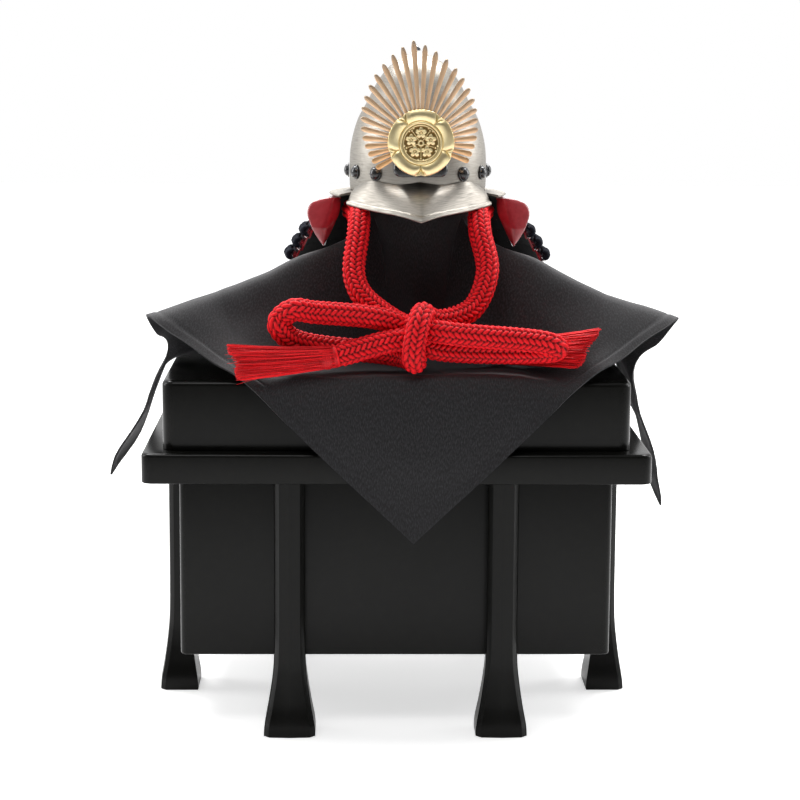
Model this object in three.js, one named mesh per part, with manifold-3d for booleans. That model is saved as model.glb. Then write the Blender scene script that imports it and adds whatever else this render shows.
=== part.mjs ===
// A festival kabuto helmet with its crest, laced neck guard and chin cord.
// It sits on a cloth, over a post on the lid of a six-legged lacquer chest.
// Millimetres, +Z up, the front faces -Y. The origin is on the floor under the middle of the chest.
import * as THREE from 'three';
import * as BufferGeometryUtils from 'three/addons/utils/BufferGeometryUtils.js';
import Module from 'manifold-3d';

const wasm = await Module();
wasm.setup();

// Gap between pieces that touch
const clearance = 0.3;

// Chest
const chestWidth = 310;
const chestDepth = 230;
const chestHeight = 130;
const chestWall = 7;
const chestCorner = 5;
const floorGap = 55;
const flangeWidth = 360;
const flangeDepth = 280;
const flangeHeight = 21.5;
const flangeEdge = 2.5;
const lidWidth = 332;
const lidDepth = 252;
const lidHeight = 49.5;
const lidEdge = 4;
const lidWall = 7;

// Legs
const legHalfWidth = 11;
const legReach = 17;
const legChamfer = 5;
const legBulge = 1.2;
const frontLegSpacing = 152;

// Post and helmet seat
const headAcross = 17;
const postRadius = 36.5;
const headRadius = 26;
const rimHeight = 127;

// Bowl, its height above the rim
const bowlHalfWidth = 50.7;
const bowlHalfLength = 60;
const bowlHeight = 102.6;
const bowlWall = 2;
const keelHeight = 2.2;
const keelSpread = 8;
const stalkLength = 6;
const stalkRadius = 1.4;

// Brim and visor
const brimReach = 15.5;
const brimDrop = 1.8;
const brimWall = 1.6;
const visorWall = 1.6;
const visorBead = 3;
const visorTopHalf = 44.6;
const visorHalfWidth = 51.8;
const visorHighRise = 7.8;
const visorLowDrop = 17.5;
const visorSweep = 1.18;
const visorTip = 92;
const visorCornerBack = 35;
const visorSideTurn = 57.2;
const brimGapTurn = 1.2;

// Rivets
const rivetTurn = 25.7;
const rivetRows = 6;
const rivetRise = 14;
const rivetRadius = 4;
const rivetDome = 3;
const washerRadius = 4.8;
const washerHeight = 0.8;

// Crest
const crestBaseWidth = 39;
const crestBaseHeight = 9.5;
const crestBaseRise = 13;
const crestFront = 71.2;
const rayThickness = 1;
const rayShortest = 36.5;
const rayLongest = 73;
const rayRootWidth = 2;
const rayTipWidth = 3.3;
const raysEachSide = 14;
const rayStep = 8.7;
const rayCloser = 6.5;
const rayTilt = -4.6;
const rayRootRadius = 21.5;
const discRadius = 24;
const discRise = 37.5;
const discThickness = 3.2;
const discRelief = 1.7;

// Neck guard
const guardTopRadius = 68.5;
const guardSlope = 0.45;
const guardLonger = 8;
const guardTopDrop = 7.5;
const guardDrop = 48;
const lameWall = 1.2;
const lameStep = 1.6;
const lameShoulder = 2.6;
const firstLameTurn = 68;
const lowerLameTurn = 76;
const hangerRadius = 62;
const hangerDrop = 4.5;
const laceRadius = 3.6;
const laceCount = 23;
const laceHeight = 7.6;
const laceSteps = 2;

// Turned back plates
const leafWidth = 26;
const leafHeight = 35;
const leafDrop = 4.6;
const leafWall = 1.5;
const leafInner = 57.5;
const leafSweep = 0.32;
const leafFold = 4;
const leafAhead = 3.8;

// Cloth, its drape follows the lid and the neck of the post
const clothWall = 1.6;
const clothShift = 11.6;
const clothShoulder = 12;

// Chin cord
const cordDiameter = 16;
const cordSides = 8;
const cordStep = 22;
const tasselHead = 9;
const tasselLocks = 9;
const tasselSides = 6;
const tasselLayer = 1.6;
const leftTasselEnd = { low: [-108, -139, 259], high: [-116, -133, 283.5] };
const rightTasselEnd = { low: [125, -129, 267], high: [141, -113, 292.5] };

const flangeTop = floorGap + chestHeight + clearance + flangeHeight;
const lidTop = flangeTop + clearance + lidHeight;
const rimZ = lidTop + rimHeight;
const lidHalfWidth = lidWidth / 2;
const lidHalfDepth = lidDepth / 2;
const degree = Math.PI / 180;

// Geometry helpers

function point(x, y, z) {
  return new THREE.Vector3(x, y, z);
}

function mix(a, b, t) {
  return a + (b - a) * t;
}

// A smooth curve through the rows of a table, y against x
function smoothTable(rows) {
  const curve = new THREE.CatmullRomCurve3(rows.map(([x, y]) => point(x, y, 0)), false, 'centripetal');
  const samples = curve.getPoints(rows.length * 12);
  return (x) => {
    const next = samples.findIndex((sample) => sample.x >= x);
    if (next <= 0) {
      return next === 0 ? samples[0].y : samples[samples.length - 1].y;
    }
    const low = samples[next - 1];
    const high = samples[next];
    return mix(low.y, high.y, (x - low.x) / (high.x - low.x));
  };
}

function signedVolume(vertices, triangles) {
  let total = 0;
  for (const [a, b, c] of triangles) {
    total += vertices[a].dot(point(0, 0, 0).crossVectors(vertices[b], vertices[c])) / 6;
  }
  return total;
}

// A closed geometry from vertices and triangles, merged, without empty triangles and facing out
function closedGeometry(vertices, triangles) {
  const flat = vertices.flatMap((vertex) => [vertex.x, vertex.y, vertex.z]);
  let geometry = new THREE.BufferGeometry();
  geometry.setAttribute('position', new THREE.Float32BufferAttribute(flat, 3));
  geometry.setIndex(triangles.flat());
  geometry = BufferGeometryUtils.mergeVertices(geometry, 1e-3);
  const merged = Array.from(geometry.index.array);
  const kept = [];
  for (let i = 0; i < merged.length; i += 3) {
    const [a, b, c] = merged.slice(i, i + 3);
    if (a !== b && b !== c && c !== a) {
      kept.push([a, b, c]);
    }
  }
  const position = geometry.attributes.position;
  const corners = [];
  for (let i = 0; i < position.count; i += 1) {
    corners.push(point(position.getX(i), position.getY(i), position.getZ(i)));
  }
  const outward = signedVolume(corners, kept) < 0 ? kept.map(([a, b, c]) => [a, c, b]) : kept;
  geometry.setIndex(outward.flat());
  geometry.computeVertexNormals();
  return geometry;
}

// A solid through rings of equal count, capped at both ends, or closed on itself.
// From the ring numbered turned on, the quads are split along their other diagonal
function loft(rings, closed = false, turned = rings.length) {
  const count = rings[0].length;
  const vertices = rings.flat();
  const triangles = [];
  const last = closed ? rings.length : rings.length - 1;
  for (let i = 0; i < last; i += 1) {
    const row = i * count;
    const nextRow = ((i + 1) % rings.length) * count;
    for (let j = 0; j < count; j += 1) {
      const k = (j + 1) % count;
      if (i < turned) {
        triangles.push([row + j, row + k, nextRow + k], [row + j, nextRow + k, nextRow + j]);
      } else {
        triangles.push([row + j, row + k, nextRow + j], [row + k, nextRow + k, nextRow + j]);
      }
    }
  }
  if (!closed) {
    const finalStart = count * (rings.length - 1);
    for (const [ring, start, flip] of [[rings[0], 0, true], [rings.at(-1), finalStart, false]]) {
      const middle = ring.reduce((sum, corner) => sum.add(corner), point(0, 0, 0)).divideScalar(count);
      const centre = vertices.push(middle) - 1;
      for (let j = 0; j < count; j += 1) {
        const k = (j + 1) % count;
        triangles.push(flip ? [centre, start + k, start + j] : [centre, start + j, start + k]);
      }
    }
  }
  return closedGeometry(vertices, triangles);
}

// Grid points moved along the surface normal, rows may wrap round
function offsetGrid(rows, distance, wrap = false) {
  const last = rows[0].length - 1;
  return rows.map((row, i) => row.map((corner, j) => {
    const left = wrap ? row[(j + last) % (last + 1)] : row[Math.max(j - 1, 0)];
    const right = wrap ? row[(j + 1) % (last + 1)] : row[Math.min(j + 1, last)];
    const up = rows[Math.max(i - 1, 0)][j];
    const down = rows[Math.min(i + 1, rows.length - 1)][j];
    const normal = point(0, 0, 0).crossVectors(right.clone().sub(left), down.clone().sub(up));
    if (normal.length() < 1e-6) {
      normal.set(0, 0, 1);
    }
    return corner.clone().addScaledVector(normal.normalize(), distance);
  }));
}

// A plate between a grid and its offset, each column of the grid is one section
function plate(rows, thickness) {
  const raised = offsetGrid(rows, 1).map((row, i) => row.map((corner, j) => {
    const along = corner.clone().sub(rows[i][j]);
    return rows[i][j].clone().addScaledVector(along, thickness(i / (rows.length - 1)));
  }));
  const sections = rows[0].map((corner, j) => [
    ...rows.map((row) => row[j]),
    ...raised.map((row) => row[j]).reverse(),
  ]);
  return loft(sections);
}

// The same shape as one closed geometry
function closed(geometry) {
  const { position } = geometry.attributes;
  const vertices = [];
  for (let i = 0; i < position.count; i += 1) {
    vertices.push(point(position.getX(i), position.getY(i), position.getZ(i)));
  }
  const order = geometry.index ? Array.from(geometry.index.array) : vertices.map((vertex, i) => i);
  const triangles = [];
  for (let i = 0; i < order.length; i += 3) {
    triangles.push(order.slice(i, i + 3));
  }
  return closedGeometry(vertices, triangles);
}

function rectangleRing(width, depth, corner, z, steps = 3) {
  const ring = [];
  const centres = [[1, 1], [-1, 1], [-1, -1], [1, -1]];
  centres.forEach(([sideX, sideY], quarter) => {
    for (let i = 0; i <= steps; i += 1) {
      const angle = (quarter + i / steps) * Math.PI / 2;
      const x = sideX * (width / 2 - corner) + corner * Math.cos(angle);
      const y = sideY * (depth / 2 - corner) + corner * Math.sin(angle);
      ring.push(point(x, y, z));
    }
  });
  return ring;
}

// Rings that round a box edge of the given radius, from its side up to its top
function roundedEdgeRings(width, depth, corner, edge, top) {
  return [0, 30, 60, 90].map((turn) => {
    const inset = edge * (1 - Math.cos(turn * degree));
    const z = top - edge * (1 - Math.sin(turn * degree));
    return rectangleRing(width - 2 * inset, depth - 2 * inset, corner, z);
  });
}

function toManifold(geometry) {
  const plain = geometry.clone();
  plain.deleteAttribute('normal');
  plain.deleteAttribute('uv');
  const merged = BufferGeometryUtils.mergeVertices(plain, 1e-3);
  return new wasm.Manifold(new wasm.Mesh({
    numProp: 3,
    vertProperties: new Float32Array(merged.attributes.position.array),
    triVerts: new Uint32Array(merged.index.array),
  }));
}

function fromManifold(solid) {
  const mesh = solid.getMesh();
  const vertices = [];
  for (let i = 0; i < mesh.vertProperties.length; i += mesh.numProp) {
    vertices.push(point(...mesh.vertProperties.slice(i, i + 3)));
  }
  const triangles = [];
  for (let i = 0; i < mesh.triVerts.length; i += 3) {
    triangles.push(Array.from(mesh.triVerts.slice(i, i + 3)));
  }
  return closedGeometry(vertices, triangles);
}

function fused(geometries) {
  const solids = geometries.map(toManifold);
  return fromManifold(solids.slice(1).reduce((sum, solid) => sum.add(solid), solids[0]));
}

// Materials

function finish(color, roughness, metalness) {
  return new THREE.MeshStandardMaterial({ color, roughness, metalness });
}

const blackLacquer = () => finish(0x101012, 0.3, 0);
const wood = () => finish(0xb08a5c, 0.7, 0);
const blackSatin = () => finish(0x1a1a1d, 0.6, 0);
const steel = () => finish(0xb3aea5, 0.35, 1);
const darkSteel = () => finish(0x2a2a2c, 0.3, 1);
const copper = () => finish(0xcf9f78, 0.35, 1);
const gold = () => finish(0xd9bd6a, 0.3, 1);
const redLacquer = () => finish(0x8e1a24, 0.2, 0);
const navyBraid = () => finish(0x151826, 0.8, 0);
const redBraid = () => finish(0xc8141e, 0.7, 0);
const redSilk = () => finish(0xd01820, 0.5, 0);

const model = new THREE.Group();
const helmet = new THREE.Group();
helmet.position.set(headAcross, 0, rimZ);
model.add(helmet);

function add(parent, name, geometry, material, place = [0, 0, 0]) {
  const mesh = new THREE.Mesh(geometry, material);
  mesh.name = name;
  mesh.position.set(...place);
  parent.add(mesh);
  return mesh;
}

// Chest

function chestBody() {
  const inner = [chestWidth - 2 * chestWall, chestDepth - 2 * chestWall, chestCorner / 2];
  return loft([
    rectangleRing(chestWidth - 3, chestDepth - 3, chestCorner, 0),
    rectangleRing(chestWidth, chestDepth, chestCorner, 1.5),
    rectangleRing(chestWidth, chestDepth, chestCorner, chestHeight),
    rectangleRing(...inner, chestHeight),
    rectangleRing(...inner, chestWall),
  ]);
}

function lidFlange() {
  const inner = [chestWidth - 2 * chestWall, chestDepth - 2 * chestWall, chestCorner / 2];
  const corner = chestCorner + flangeEdge;
  return loft([
    rectangleRing(flangeWidth - 2, flangeDepth - 2, corner, 0),
    rectangleRing(flangeWidth, flangeDepth, corner, 1),
    ...roundedEdgeRings(flangeWidth, flangeDepth, corner, flangeEdge, flangeHeight),
    rectangleRing(...inner, flangeHeight),
    rectangleRing(...inner, 0),
  ], true);
}

function lidBox() {
  const inner = [lidWidth - 2 * lidWall, lidDepth - 2 * lidWall, chestCorner / 2];
  const corner = chestCorner + lidEdge;
  return loft([
    rectangleRing(...inner, lidHeight - lidWall),
    rectangleRing(...inner, 0),
    rectangleRing(lidWidth, lidDepth, corner, 0),
    ...roundedEdgeRings(lidWidth, lidDepth, corner, lidEdge, lidHeight),
  ]);
}

// Share of the leg's height and half width, then shares of its reach outwards and inwards
const legSections = [
  { height: 0, halfWidth: 1.68, out: 1.42, back: 0.35 },
  { height: 0.03, halfWidth: 1.66, out: 1.4, back: 0.34 },
  { height: 0.12, halfWidth: 1.4, out: 1.24, back: 0.2 },
  { height: 0.22, halfWidth: 1.15, out: 1.1, back: 0.06 },
  { height: 0.29, halfWidth: 1.04, out: 1.03, back: -clearance / legReach },
  { height: 0.4, halfWidth: 1, out: 1, back: -clearance / legReach },
  { height: 1, halfWidth: 1, out: 1, back: -clearance / legReach },
];

function leg() {
  const top = floorGap + chestHeight;
  return loft(legSections.map((section) => {
    const half = section.halfWidth * legHalfWidth;
    const out = section.out * legReach;
    const back = section.back * legReach;
    const z = section.height * top;
    return [
      point(-half, back, z),
      point(-half, legChamfer - out, z),
      point(legChamfer * 0.7 - half, legBulge - out, z),
      point(0, -out, z),
      point(half - legChamfer * 0.7, legBulge - out, z),
      point(half, legChamfer - out, z),
      point(half, back, z),
    ];
  }));
}

add(model, 'chest_body', chestBody(), blackLacquer(), [0, 0, floorGap]);
add(model, 'lid_flange', lidFlange(), blackLacquer(), [0, 0, floorGap + chestHeight + clearance]);
add(model, 'lid_box', lidBox(), blackLacquer(), [0, 0, lidTop - lidHeight]);

const legPlaces = [
  { name: 'leg_front_left', x: -frontLegSpacing / 2, y: -chestDepth / 2, turn: 0 },
  { name: 'leg_front_right', x: frontLegSpacing / 2, y: -chestDepth / 2, turn: 0 },
  { name: 'leg_side_right', x: chestWidth / 2, y: 0, turn: 90 },
  { name: 'leg_back_right', x: frontLegSpacing / 2, y: chestDepth / 2, turn: 180 },
  { name: 'leg_back_left', x: -frontLegSpacing / 2, y: chestDepth / 2, turn: 180 },
  { name: 'leg_side_left', x: -chestWidth / 2, y: 0, turn: 270 },
];
for (const place of legPlaces) {
  const mesh = add(model, place.name, leg(), blackLacquer(), [place.x, place.y, 0]);
  mesh.rotation.z = place.turn * degree;
}

// Bowl surfaces, as shares of its height and half width

const bowlProfile = smoothTable([
  [0, 1], [0.133, 1.008], [0.314, 0.99], [0.495, 0.897], [0.638, 0.745],
  [0.781, 0.595], [0.89, 0.419], [0.962, 0.2], [1, 0.02],
]);

// Half width of the bowl at a height, outside, or inside by a wall measured across the slope
function bowlRadius(height, inset = 0) {
  if (inset === 0) {
    return bowlHalfWidth * bowlProfile(height / bowlHeight);
  }
  let radius = Infinity;
  for (let step = -20; step <= 20; step += 1) {
    const shift = inset * step / 20;
    const level = Math.min(Math.max(height + shift, 0), bowlHeight);
    const room = Math.sqrt(Math.max(inset * inset - shift * shift, 0));
    radius = Math.min(radius, bowlHalfWidth * bowlProfile(level / bowlHeight) - room);
  }
  return Math.max(radius, 0);
}

// Turn runs from the front towards the right, the keel stands out at the front and the back
function bowlPoint(turn, height, inset = 0, raise = 0) {
  const across = bowlRadius(height, inset);
  const lengthways = across + inset;
  const nearest = Math.min(Math.abs(turn % 180), 180 - Math.abs(turn % 180));
  const keel = inset > 0 ? 0 : keelHeight * Math.exp(-((nearest / keelSpread) ** 2));
  const along = Math.max(lengthways * bowlHalfLength / bowlHalfWidth - inset, 0);
  const fade = Math.min(across / bowlHalfWidth * 1.5, 1);
  const x = (across + raise) * Math.sin(turn * degree);
  const y = -(along + raise + keel * fade) * Math.cos(turn * degree);
  return point(x, y, height);
}

// Columns of the bowl, close together at the keel
const halfTurns = [0, 4, 12, 26, 40, 56, 73, 90, 107, 124, 140, 154, 168, 176];
const bowlTurns = [...halfTurns, ...halfTurns.map((turn) => 360 - turn).reverse()];

function bowlRing(height, inset = 0) {
  return bowlTurns.map((turn) => bowlPoint(turn, height, inset));
}

function bowlNormal(turn, height) {
  const round = bowlPoint(turn + 1, height).sub(bowlPoint(turn - 1, height));
  const rising = bowlPoint(turn, height + 1).sub(bowlPoint(turn, height - 1));
  return round.cross(rising).normalize();
}

const bowlLevels = [0, 0.133, 0.314, 0.42, 0.53, 0.638, 0.781, 0.87, 0.935, 0.975];

function bowl() {
  const outer = bowlLevels.map((level) => bowlRing(level * bowlHeight));
  const apex = bowlRing(0).map(() => point(0, 0, bowlHeight));
  const innerApex = bowlRing(0).map(() => point(0, 0, bowlHeight * 0.95));
  const inner = bowlLevels.slice(0, -2).map((level) => bowlRing(level * bowlHeight, bowlWall));
  return loft([...outer, apex, innerApex, ...inner.reverse()], true);
}

function apexStalk() {
  const rings = [];
  for (let i = 0; i <= 4; i += 1) {
    const t = i / 4;
    const radius = stalkRadius * (1.15 - 0.65 * t);
    const centre = point(0, 3 * t * t, bowlHeight + clearance + stalkLength * t);
    const ring = [];
    for (let j = 0; j < 8; j += 1) {
      const angle = j * Math.PI / 4;
      ring.push(point(radius * Math.cos(angle), radius * Math.sin(angle), 0).add(centre));
    }
    rings.push(ring);
  }
  return loft(rings);
}

add(helmet, 'bowl', bowl(), steel());
add(helmet, 'apex_stalk', apexStalk(), darkSteel());

// Brim and visor

// The turn of the bowl's own ellipse that a turn seen from above falls on
function ellipseTurn(turn) {
  const side = Math.sin(turn * degree) / bowlHalfWidth;
  const ahead = Math.cos(turn * degree) / bowlHalfLength;
  return Math.atan2(side, ahead) / degree;
}

function brimSection(turn) {
  const angle = ellipseTurn(turn);
  const at = (reach, z) => {
    const x = (bowlHalfWidth + reach) * Math.sin(angle * degree);
    const y = -(bowlHalfLength + reach) * Math.cos(angle * degree);
    return point(x, y, z - clearance);
  };
  return [
    at(-bowlWall, 0),
    at(brimReach * 0.5, -brimDrop * 0.3),
    at(brimReach - 0.8, -brimDrop * 0.8),
    at(brimReach, -brimDrop - brimWall * 0.5),
    at(brimReach - 0.8, -brimDrop - brimWall),
    at(brimReach * 0.5, -brimDrop * 0.3 - brimWall),
    at(-bowlWall, -brimWall),
  ];
}

function brim() {
  const sections = [];
  const first = visorSideTurn + brimGapTurn;
  for (let i = 0; i <= 24; i += 1) {
    sections.push(brimSection(mix(first, 360 - first, i / 24)));
  }
  return loft(sections);
}

// Shares of the visor's rise and drop against the share of its half width
const visorTopShares = smoothTable([[0, 0.96], [0.38, 0.69], [0.74, 1], [0.88, 0.74], [1, 0.26]]);
const visorLowShares = smoothTable([
  [0, 1], [0.2, 0.84], [0.35, 0.76], [0.62, 0.657], [0.85, 0.56], [1, 0.486],
]);

function visorColumn(share) {
  const side = Math.abs(share);
  const turn = Math.asin(visorTopHalf * share / bowlHalfWidth) / degree;
  const top = bowlPoint(turn, visorHighRise * visorTopShares(side), 0, clearance * 1.5);
  const ahead = mix(visorTip, visorCornerBack, side ** visorSweep);
  const low = point(visorHalfWidth * share, -ahead, -visorLowDrop * visorLowShares(side));
  return [0, 0.3, 0.6, 0.85, 0.95, 1].map((down) => {
    const corner = top.clone().lerp(low, down);
    corner.z += 2 * Math.sin(Math.PI * down) - 0.5 * down;
    return corner;
  });
}

function visor() {
  const shares = [-1, -0.87, -0.74, -0.56, -0.38, -0.18, 0, 0.18, 0.38, 0.56, 0.74, 0.87, 1];
  const columns = shares.map(visorColumn);
  const rows = columns[0].map((corner, i) => columns.map((column) => column[i]));
  return plate(rows.map((row) => row.slice().reverse()), (down) => (down < 0.75 ? visorWall : visorBead));
}

add(helmet, 'brim', brim(), steel());
add(helmet, 'visor', visor(), steel());

// Rivets, a dome on a washer

function rivet() {
  const profile = [
    [0, 0], [washerRadius, 0], [washerRadius, washerHeight], [rivetRadius, washerHeight + 0.1],
    [rivetRadius * 0.75, washerHeight + rivetDome * 0.72], [0, washerHeight + rivetDome],
  ];
  const shape = new THREE.LatheGeometry(profile.map(([r, z]) => new THREE.Vector2(r, z)), 8);
  shape.rotateX(Math.PI / 2);
  return closed(shape);
}

let rivetNumber = 0;
for (let row = 1; row <= rivetRows; row += 1) {
  for (const side of [-1, 1]) {
    const turn = side * (row + 0.5) * rivetTurn;
    const away = bowlNormal(turn, rivetRise);
    rivetNumber += 1;
    const mesh = add(helmet, `rivet_${rivetNumber}`, rivet(), darkSteel());
    mesh.position.copy(bowlPoint(turn, rivetRise)).addScaledVector(away, clearance);
    mesh.quaternion.setFromUnitVectors(point(0, 0, 1), away);
  }
}

// Crest

function extruded(outline, depth) {
  const shape = new THREE.Shape(outline.map(([x, y]) => new THREE.Vector2(x, y)));
  return closed(new THREE.ExtrudeGeometry(shape, { depth, bevelEnabled: false }));
}

function crestBase() {
  const half = crestBaseWidth / 2;
  const rise = crestBaseRise + crestBaseHeight / 2;
  const outline = [];
  for (let i = -4; i <= 4; i += 1) {
    const turn = Math.asin(half * i / 4 / bowlRadius(rise)) / degree;
    const back = bowlPoint(turn, rise, 0, clearance * 1.5);
    outline.push([back.x, back.y]);
  }
  const front = -crestFront;
  outline.push([half, front + 3], [half - 1, front + 1], [half - 3, front]);
  outline.push([3 - half, front], [1 - half, front + 1], [-half, front + 3]);
  return extruded(outline, crestBaseHeight);
}

// Turn of a ray from the middle one, the rays at the top stand closer together
function rayTurn(place) {
  const away = Math.abs(place);
  return Math.sign(place) * (away * rayStep - rayCloser * (1 - Math.exp(-away / 2.6)));
}

function rayLength(turn) {
  return rayShortest + (rayLongest - rayShortest) * (1 - Math.abs(turn) / 125) ** 1.8;
}

// One outline round the whole fan, out and back along each ray
function crestRays() {
  const outline = [];
  const place = (turn, along, across) => {
    const angle = turn * degree;
    const x = along * Math.sin(angle) + across * Math.cos(angle);
    const y = along * Math.cos(angle) - across * Math.sin(angle);
    return [x, y];
  };
  for (let i = -raysEachSide; i <= raysEachSide; i += 1) {
    const length = rayLength(rayTurn(i));
    const turn = rayTurn(i) + rayTilt;
    outline.push(place(turn, rayRootRadius, -rayRootWidth / 2));
    outline.push(place(turn, length * 0.86, -rayTipWidth / 2));
    outline.push(place(turn, length, 0));
    outline.push(place(turn, length * 0.86, rayTipWidth / 2));
    outline.push(place(turn, rayRootRadius, rayRootWidth / 2));
  }
  const last = rayTurn(raysEachSide) + rayTilt + 4;
  const first = 360 + 2 * rayTilt - last;
  for (let i = 1; i < 8; i += 1) {
    outline.push(place(mix(last, first, i / 8), rayRootRadius, 0));
  }
  const fan = extruded(outline, rayThickness);
  fan.rotateX(Math.PI / 2);
  return fan;
}

// Height of the disc's relief, a shallow five-lobed flower with five small blossoms
function discReliefAt(share, turn) {
  const fromDivider = Math.abs((turn % 72) - 36);
  if (share > 0.98) {
    return 0.15;
  }
  if (share > 0.66) {
    const dome = Math.sin(Math.PI * (share - 0.6) / 0.42);
    return 0.25 + 0.75 * dome * Math.min(1, fromDivider / 12);
  }
  if (share > 0.55) {
    return 0.7;
  }
  const blossom = Math.max(0, 1 - Math.abs(share - 0.36) / 0.2) * Math.max(0, 1 - (36 - fromDivider) / 20);
  return share < 0.08 ? 0.6 : 0.15 + 0.55 * blossom;
}

function crestDisc() {
  const radii = [1, 0.96, 0.88, 0.78, 0.68, 0.64, 0.57, 0.48, 0.34, 0.2, 0.06];
  const turns = [];
  for (let i = 0; i < 30; i += 1) {
    turns.push(i * 12);
  }
  const ringAt = (share, y) => turns.map((turn) => {
    const nearest = Math.abs((((turn % 72) + 72) % 72) - 36);
    const notch = 1 - 0.035 * Math.max(0, 1 - nearest / 10) * share;
    const radius = discRadius * share * notch;
    return point(radius * Math.sin(turn * degree), y(share, turn), radius * Math.cos(turn * degree));
  });
  const relief = (share, turn) => discRelief * (1 - discReliefAt(share, turn)) - discThickness;
  return loft([
    ringAt(1, () => 0),
    ...radii.map((share) => ringAt(share, relief)),
  ]);
}

add(helmet, 'crest_base', crestBase(), blackLacquer(), [0, 0, crestBaseRise]);
add(helmet, 'crest_rays', crestRays(), copper(), [0, -crestFront - clearance, discRise]);
const discBack = crestFront + 2 * clearance + rayThickness;
add(helmet, 'crest_disc', crestDisc(), gold(), [0, -discBack, discRise]);

// Neck guard, cones round the back of the helmet, each lower lame one step further out

const guardLames = [
  { top: 0, bottom: 0.395, turn: firstLameTurn },
  { top: 0.385, bottom: 0.58, turn: lowerLameTurn },
  { top: 0.565, bottom: 0.765, turn: lowerLameTurn },
  { top: 0.75, bottom: 1, turn: lowerLameTurn },
];

function guardPoint(turn, drop, out) {
  const radius = guardTopRadius + (drop - guardTopDrop) * guardSlope + out;
  return point(radius * Math.sin(turn * degree), -(radius + guardLonger) * Math.cos(turn * degree), -drop);
}

// Turns of the sections that all lames share, the first lame goes on to its own ends
function lameTurns(first) {
  const turns = [];
  for (let i = 0; i <= 20; i += 1) {
    turns.push(mix(lowerLameTurn, 360 - lowerLameTurn, i / 20));
  }
  return first < lowerLameTurn ? [first, ...turns, 360 - first] : turns;
}

// The first lame's flat top, which reaches in under the brim
function hangerPoint(turn, drop) {
  const across = hangerRadius * Math.sin(turn * degree);
  return point(across, -(hangerRadius + guardLonger) * Math.cos(turn * degree), -drop);
}

function lame(index) {
  const { top, bottom, turn: first } = guardLames[index];
  const out = index * lameStep;
  const high = guardTopDrop + top * guardDrop + (index === 0 ? lameShoulder : 0);
  const low = guardTopDrop + bottom * guardDrop;
  const sections = lameTurns(first).map((turn) => [
    guardPoint(turn, low, out),
    guardPoint(turn, high, out),
    ...(index === 0 ? [hangerPoint(turn, hangerDrop + lameWall), hangerPoint(turn, hangerDrop)] : []),
    guardPoint(turn, high, out + lameWall),
    guardPoint(turn, low, out + lameWall),
  ]);
  return loft(sections);
}

// A row of short lacing bundles, a scalloped band on the face of the lame under it
function lacingRow(index) {
  const out = index * lameStep + lameWall + clearance;
  const middle = guardTopDrop + guardLames[index].top * guardDrop + laceHeight / 2 + 0.4;
  const sections = [];
  const total = laceCount * laceSteps;
  for (let i = 0; i <= total; i += 1) {
    const turn = mix(lowerLameTurn + 0.6, 359.4 - lowerLameTurn, i / total);
    const swell = 0.16 + 0.84 * Math.abs(Math.sin(Math.PI * i / laceSteps)) ** 0.7;
    const half = laceHeight / 2 * (0.62 + 0.38 * swell);
    sections.push([
      guardPoint(turn, middle + half * 0.8, out),
      guardPoint(turn, middle - half * 0.8, out),
      guardPoint(turn, middle - half, out + laceRadius * swell),
      guardPoint(turn, middle, out + 2 * laceRadius * swell),
      guardPoint(turn, middle + half, out + laceRadius * swell),
    ]);
  }
  return loft(sections);
}

for (let i = 0; i < guardLames.length; i += 1) {
  add(helmet, `shikoro_lame_${i + 1}`, lame(i), redLacquer());
}
for (let i = 1; i < guardLames.length; i += 1) {
  add(helmet, `lacing_row_${i}`, lacingRow(i), navyBraid());
}

// Turned back plates, shares of height and of the width from the inner edge

const leafRows = [
  { down: 0, inner: 0.06, outer: 0.4 },
  { down: 0.05, inner: 0.03, outer: 0.63 },
  { down: 0.15, inner: 0.02, outer: 0.88 },
  { down: 0.32, inner: 0.05, outer: 0.965 },
  { down: 0.5, inner: 0.15, outer: 0.9 },
  { down: 0.68, inner: 0.26, outer: 0.8 },
  { down: 0.85, inner: 0.37, outer: 0.66 },
  { down: 1, inner: 0.47, outer: 0.5 },
];

function leafPlate(side) {
  const through = point(-side * leafSweep, 1, 0).normalize().multiplyScalar(leafWall);
  const rows = leafRows.map(({ down, inner, outer }) => {
    const drop = leafDrop + down * leafHeight;
    const edge = guardPoint(firstLameTurn, Math.min(drop, 26), 0);
    const corners = [];
    for (let i = 0; i <= 4; i += 1) {
      const share = mix(inner, outer, i / 4);
      const x = leafInner + share * leafWidth;
      const bow = Math.sin(Math.PI * i / 4) * 1.5;
      const folded = i === 0 ? leafFold * (1 - down * 0.5) : 0;
      const sweep = (x - edge.x) * leafSweep * (x > edge.x ? 1 : 0.2);
      corners.push(point(side * x, edge.y - leafAhead - bow + folded + sweep, -drop));
    }
    return [...corners, ...corners.map((corner) => corner.clone().add(through)).reverse()];
  });
  return loft(rows);
}

add(helmet, 'fukigaeshi_left', leafPlate(-1), redLacquer());
add(helmet, 'fukigaeshi_right', leafPlate(1), redLacquer());

// Post, a plain column whose head follows the crown inside

const seatInset = bowlWall + 4 * clearance + clothWall;
const seatRadius = (height) => bowlRadius(height * bowlHeight, seatInset);
const postLevels = [
  { height: 0.85, radius: 0 },
  { height: 0.85, radius: seatRadius(0.85) * 0.78 },
  { height: 0.8, radius: seatRadius(0.8) },
  { height: 0.62, radius: headRadius },
  { height: 0.3, radius: mix(headRadius, postRadius, 0.35) },
  { height: -0.04, radius: postRadius },
];

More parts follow.
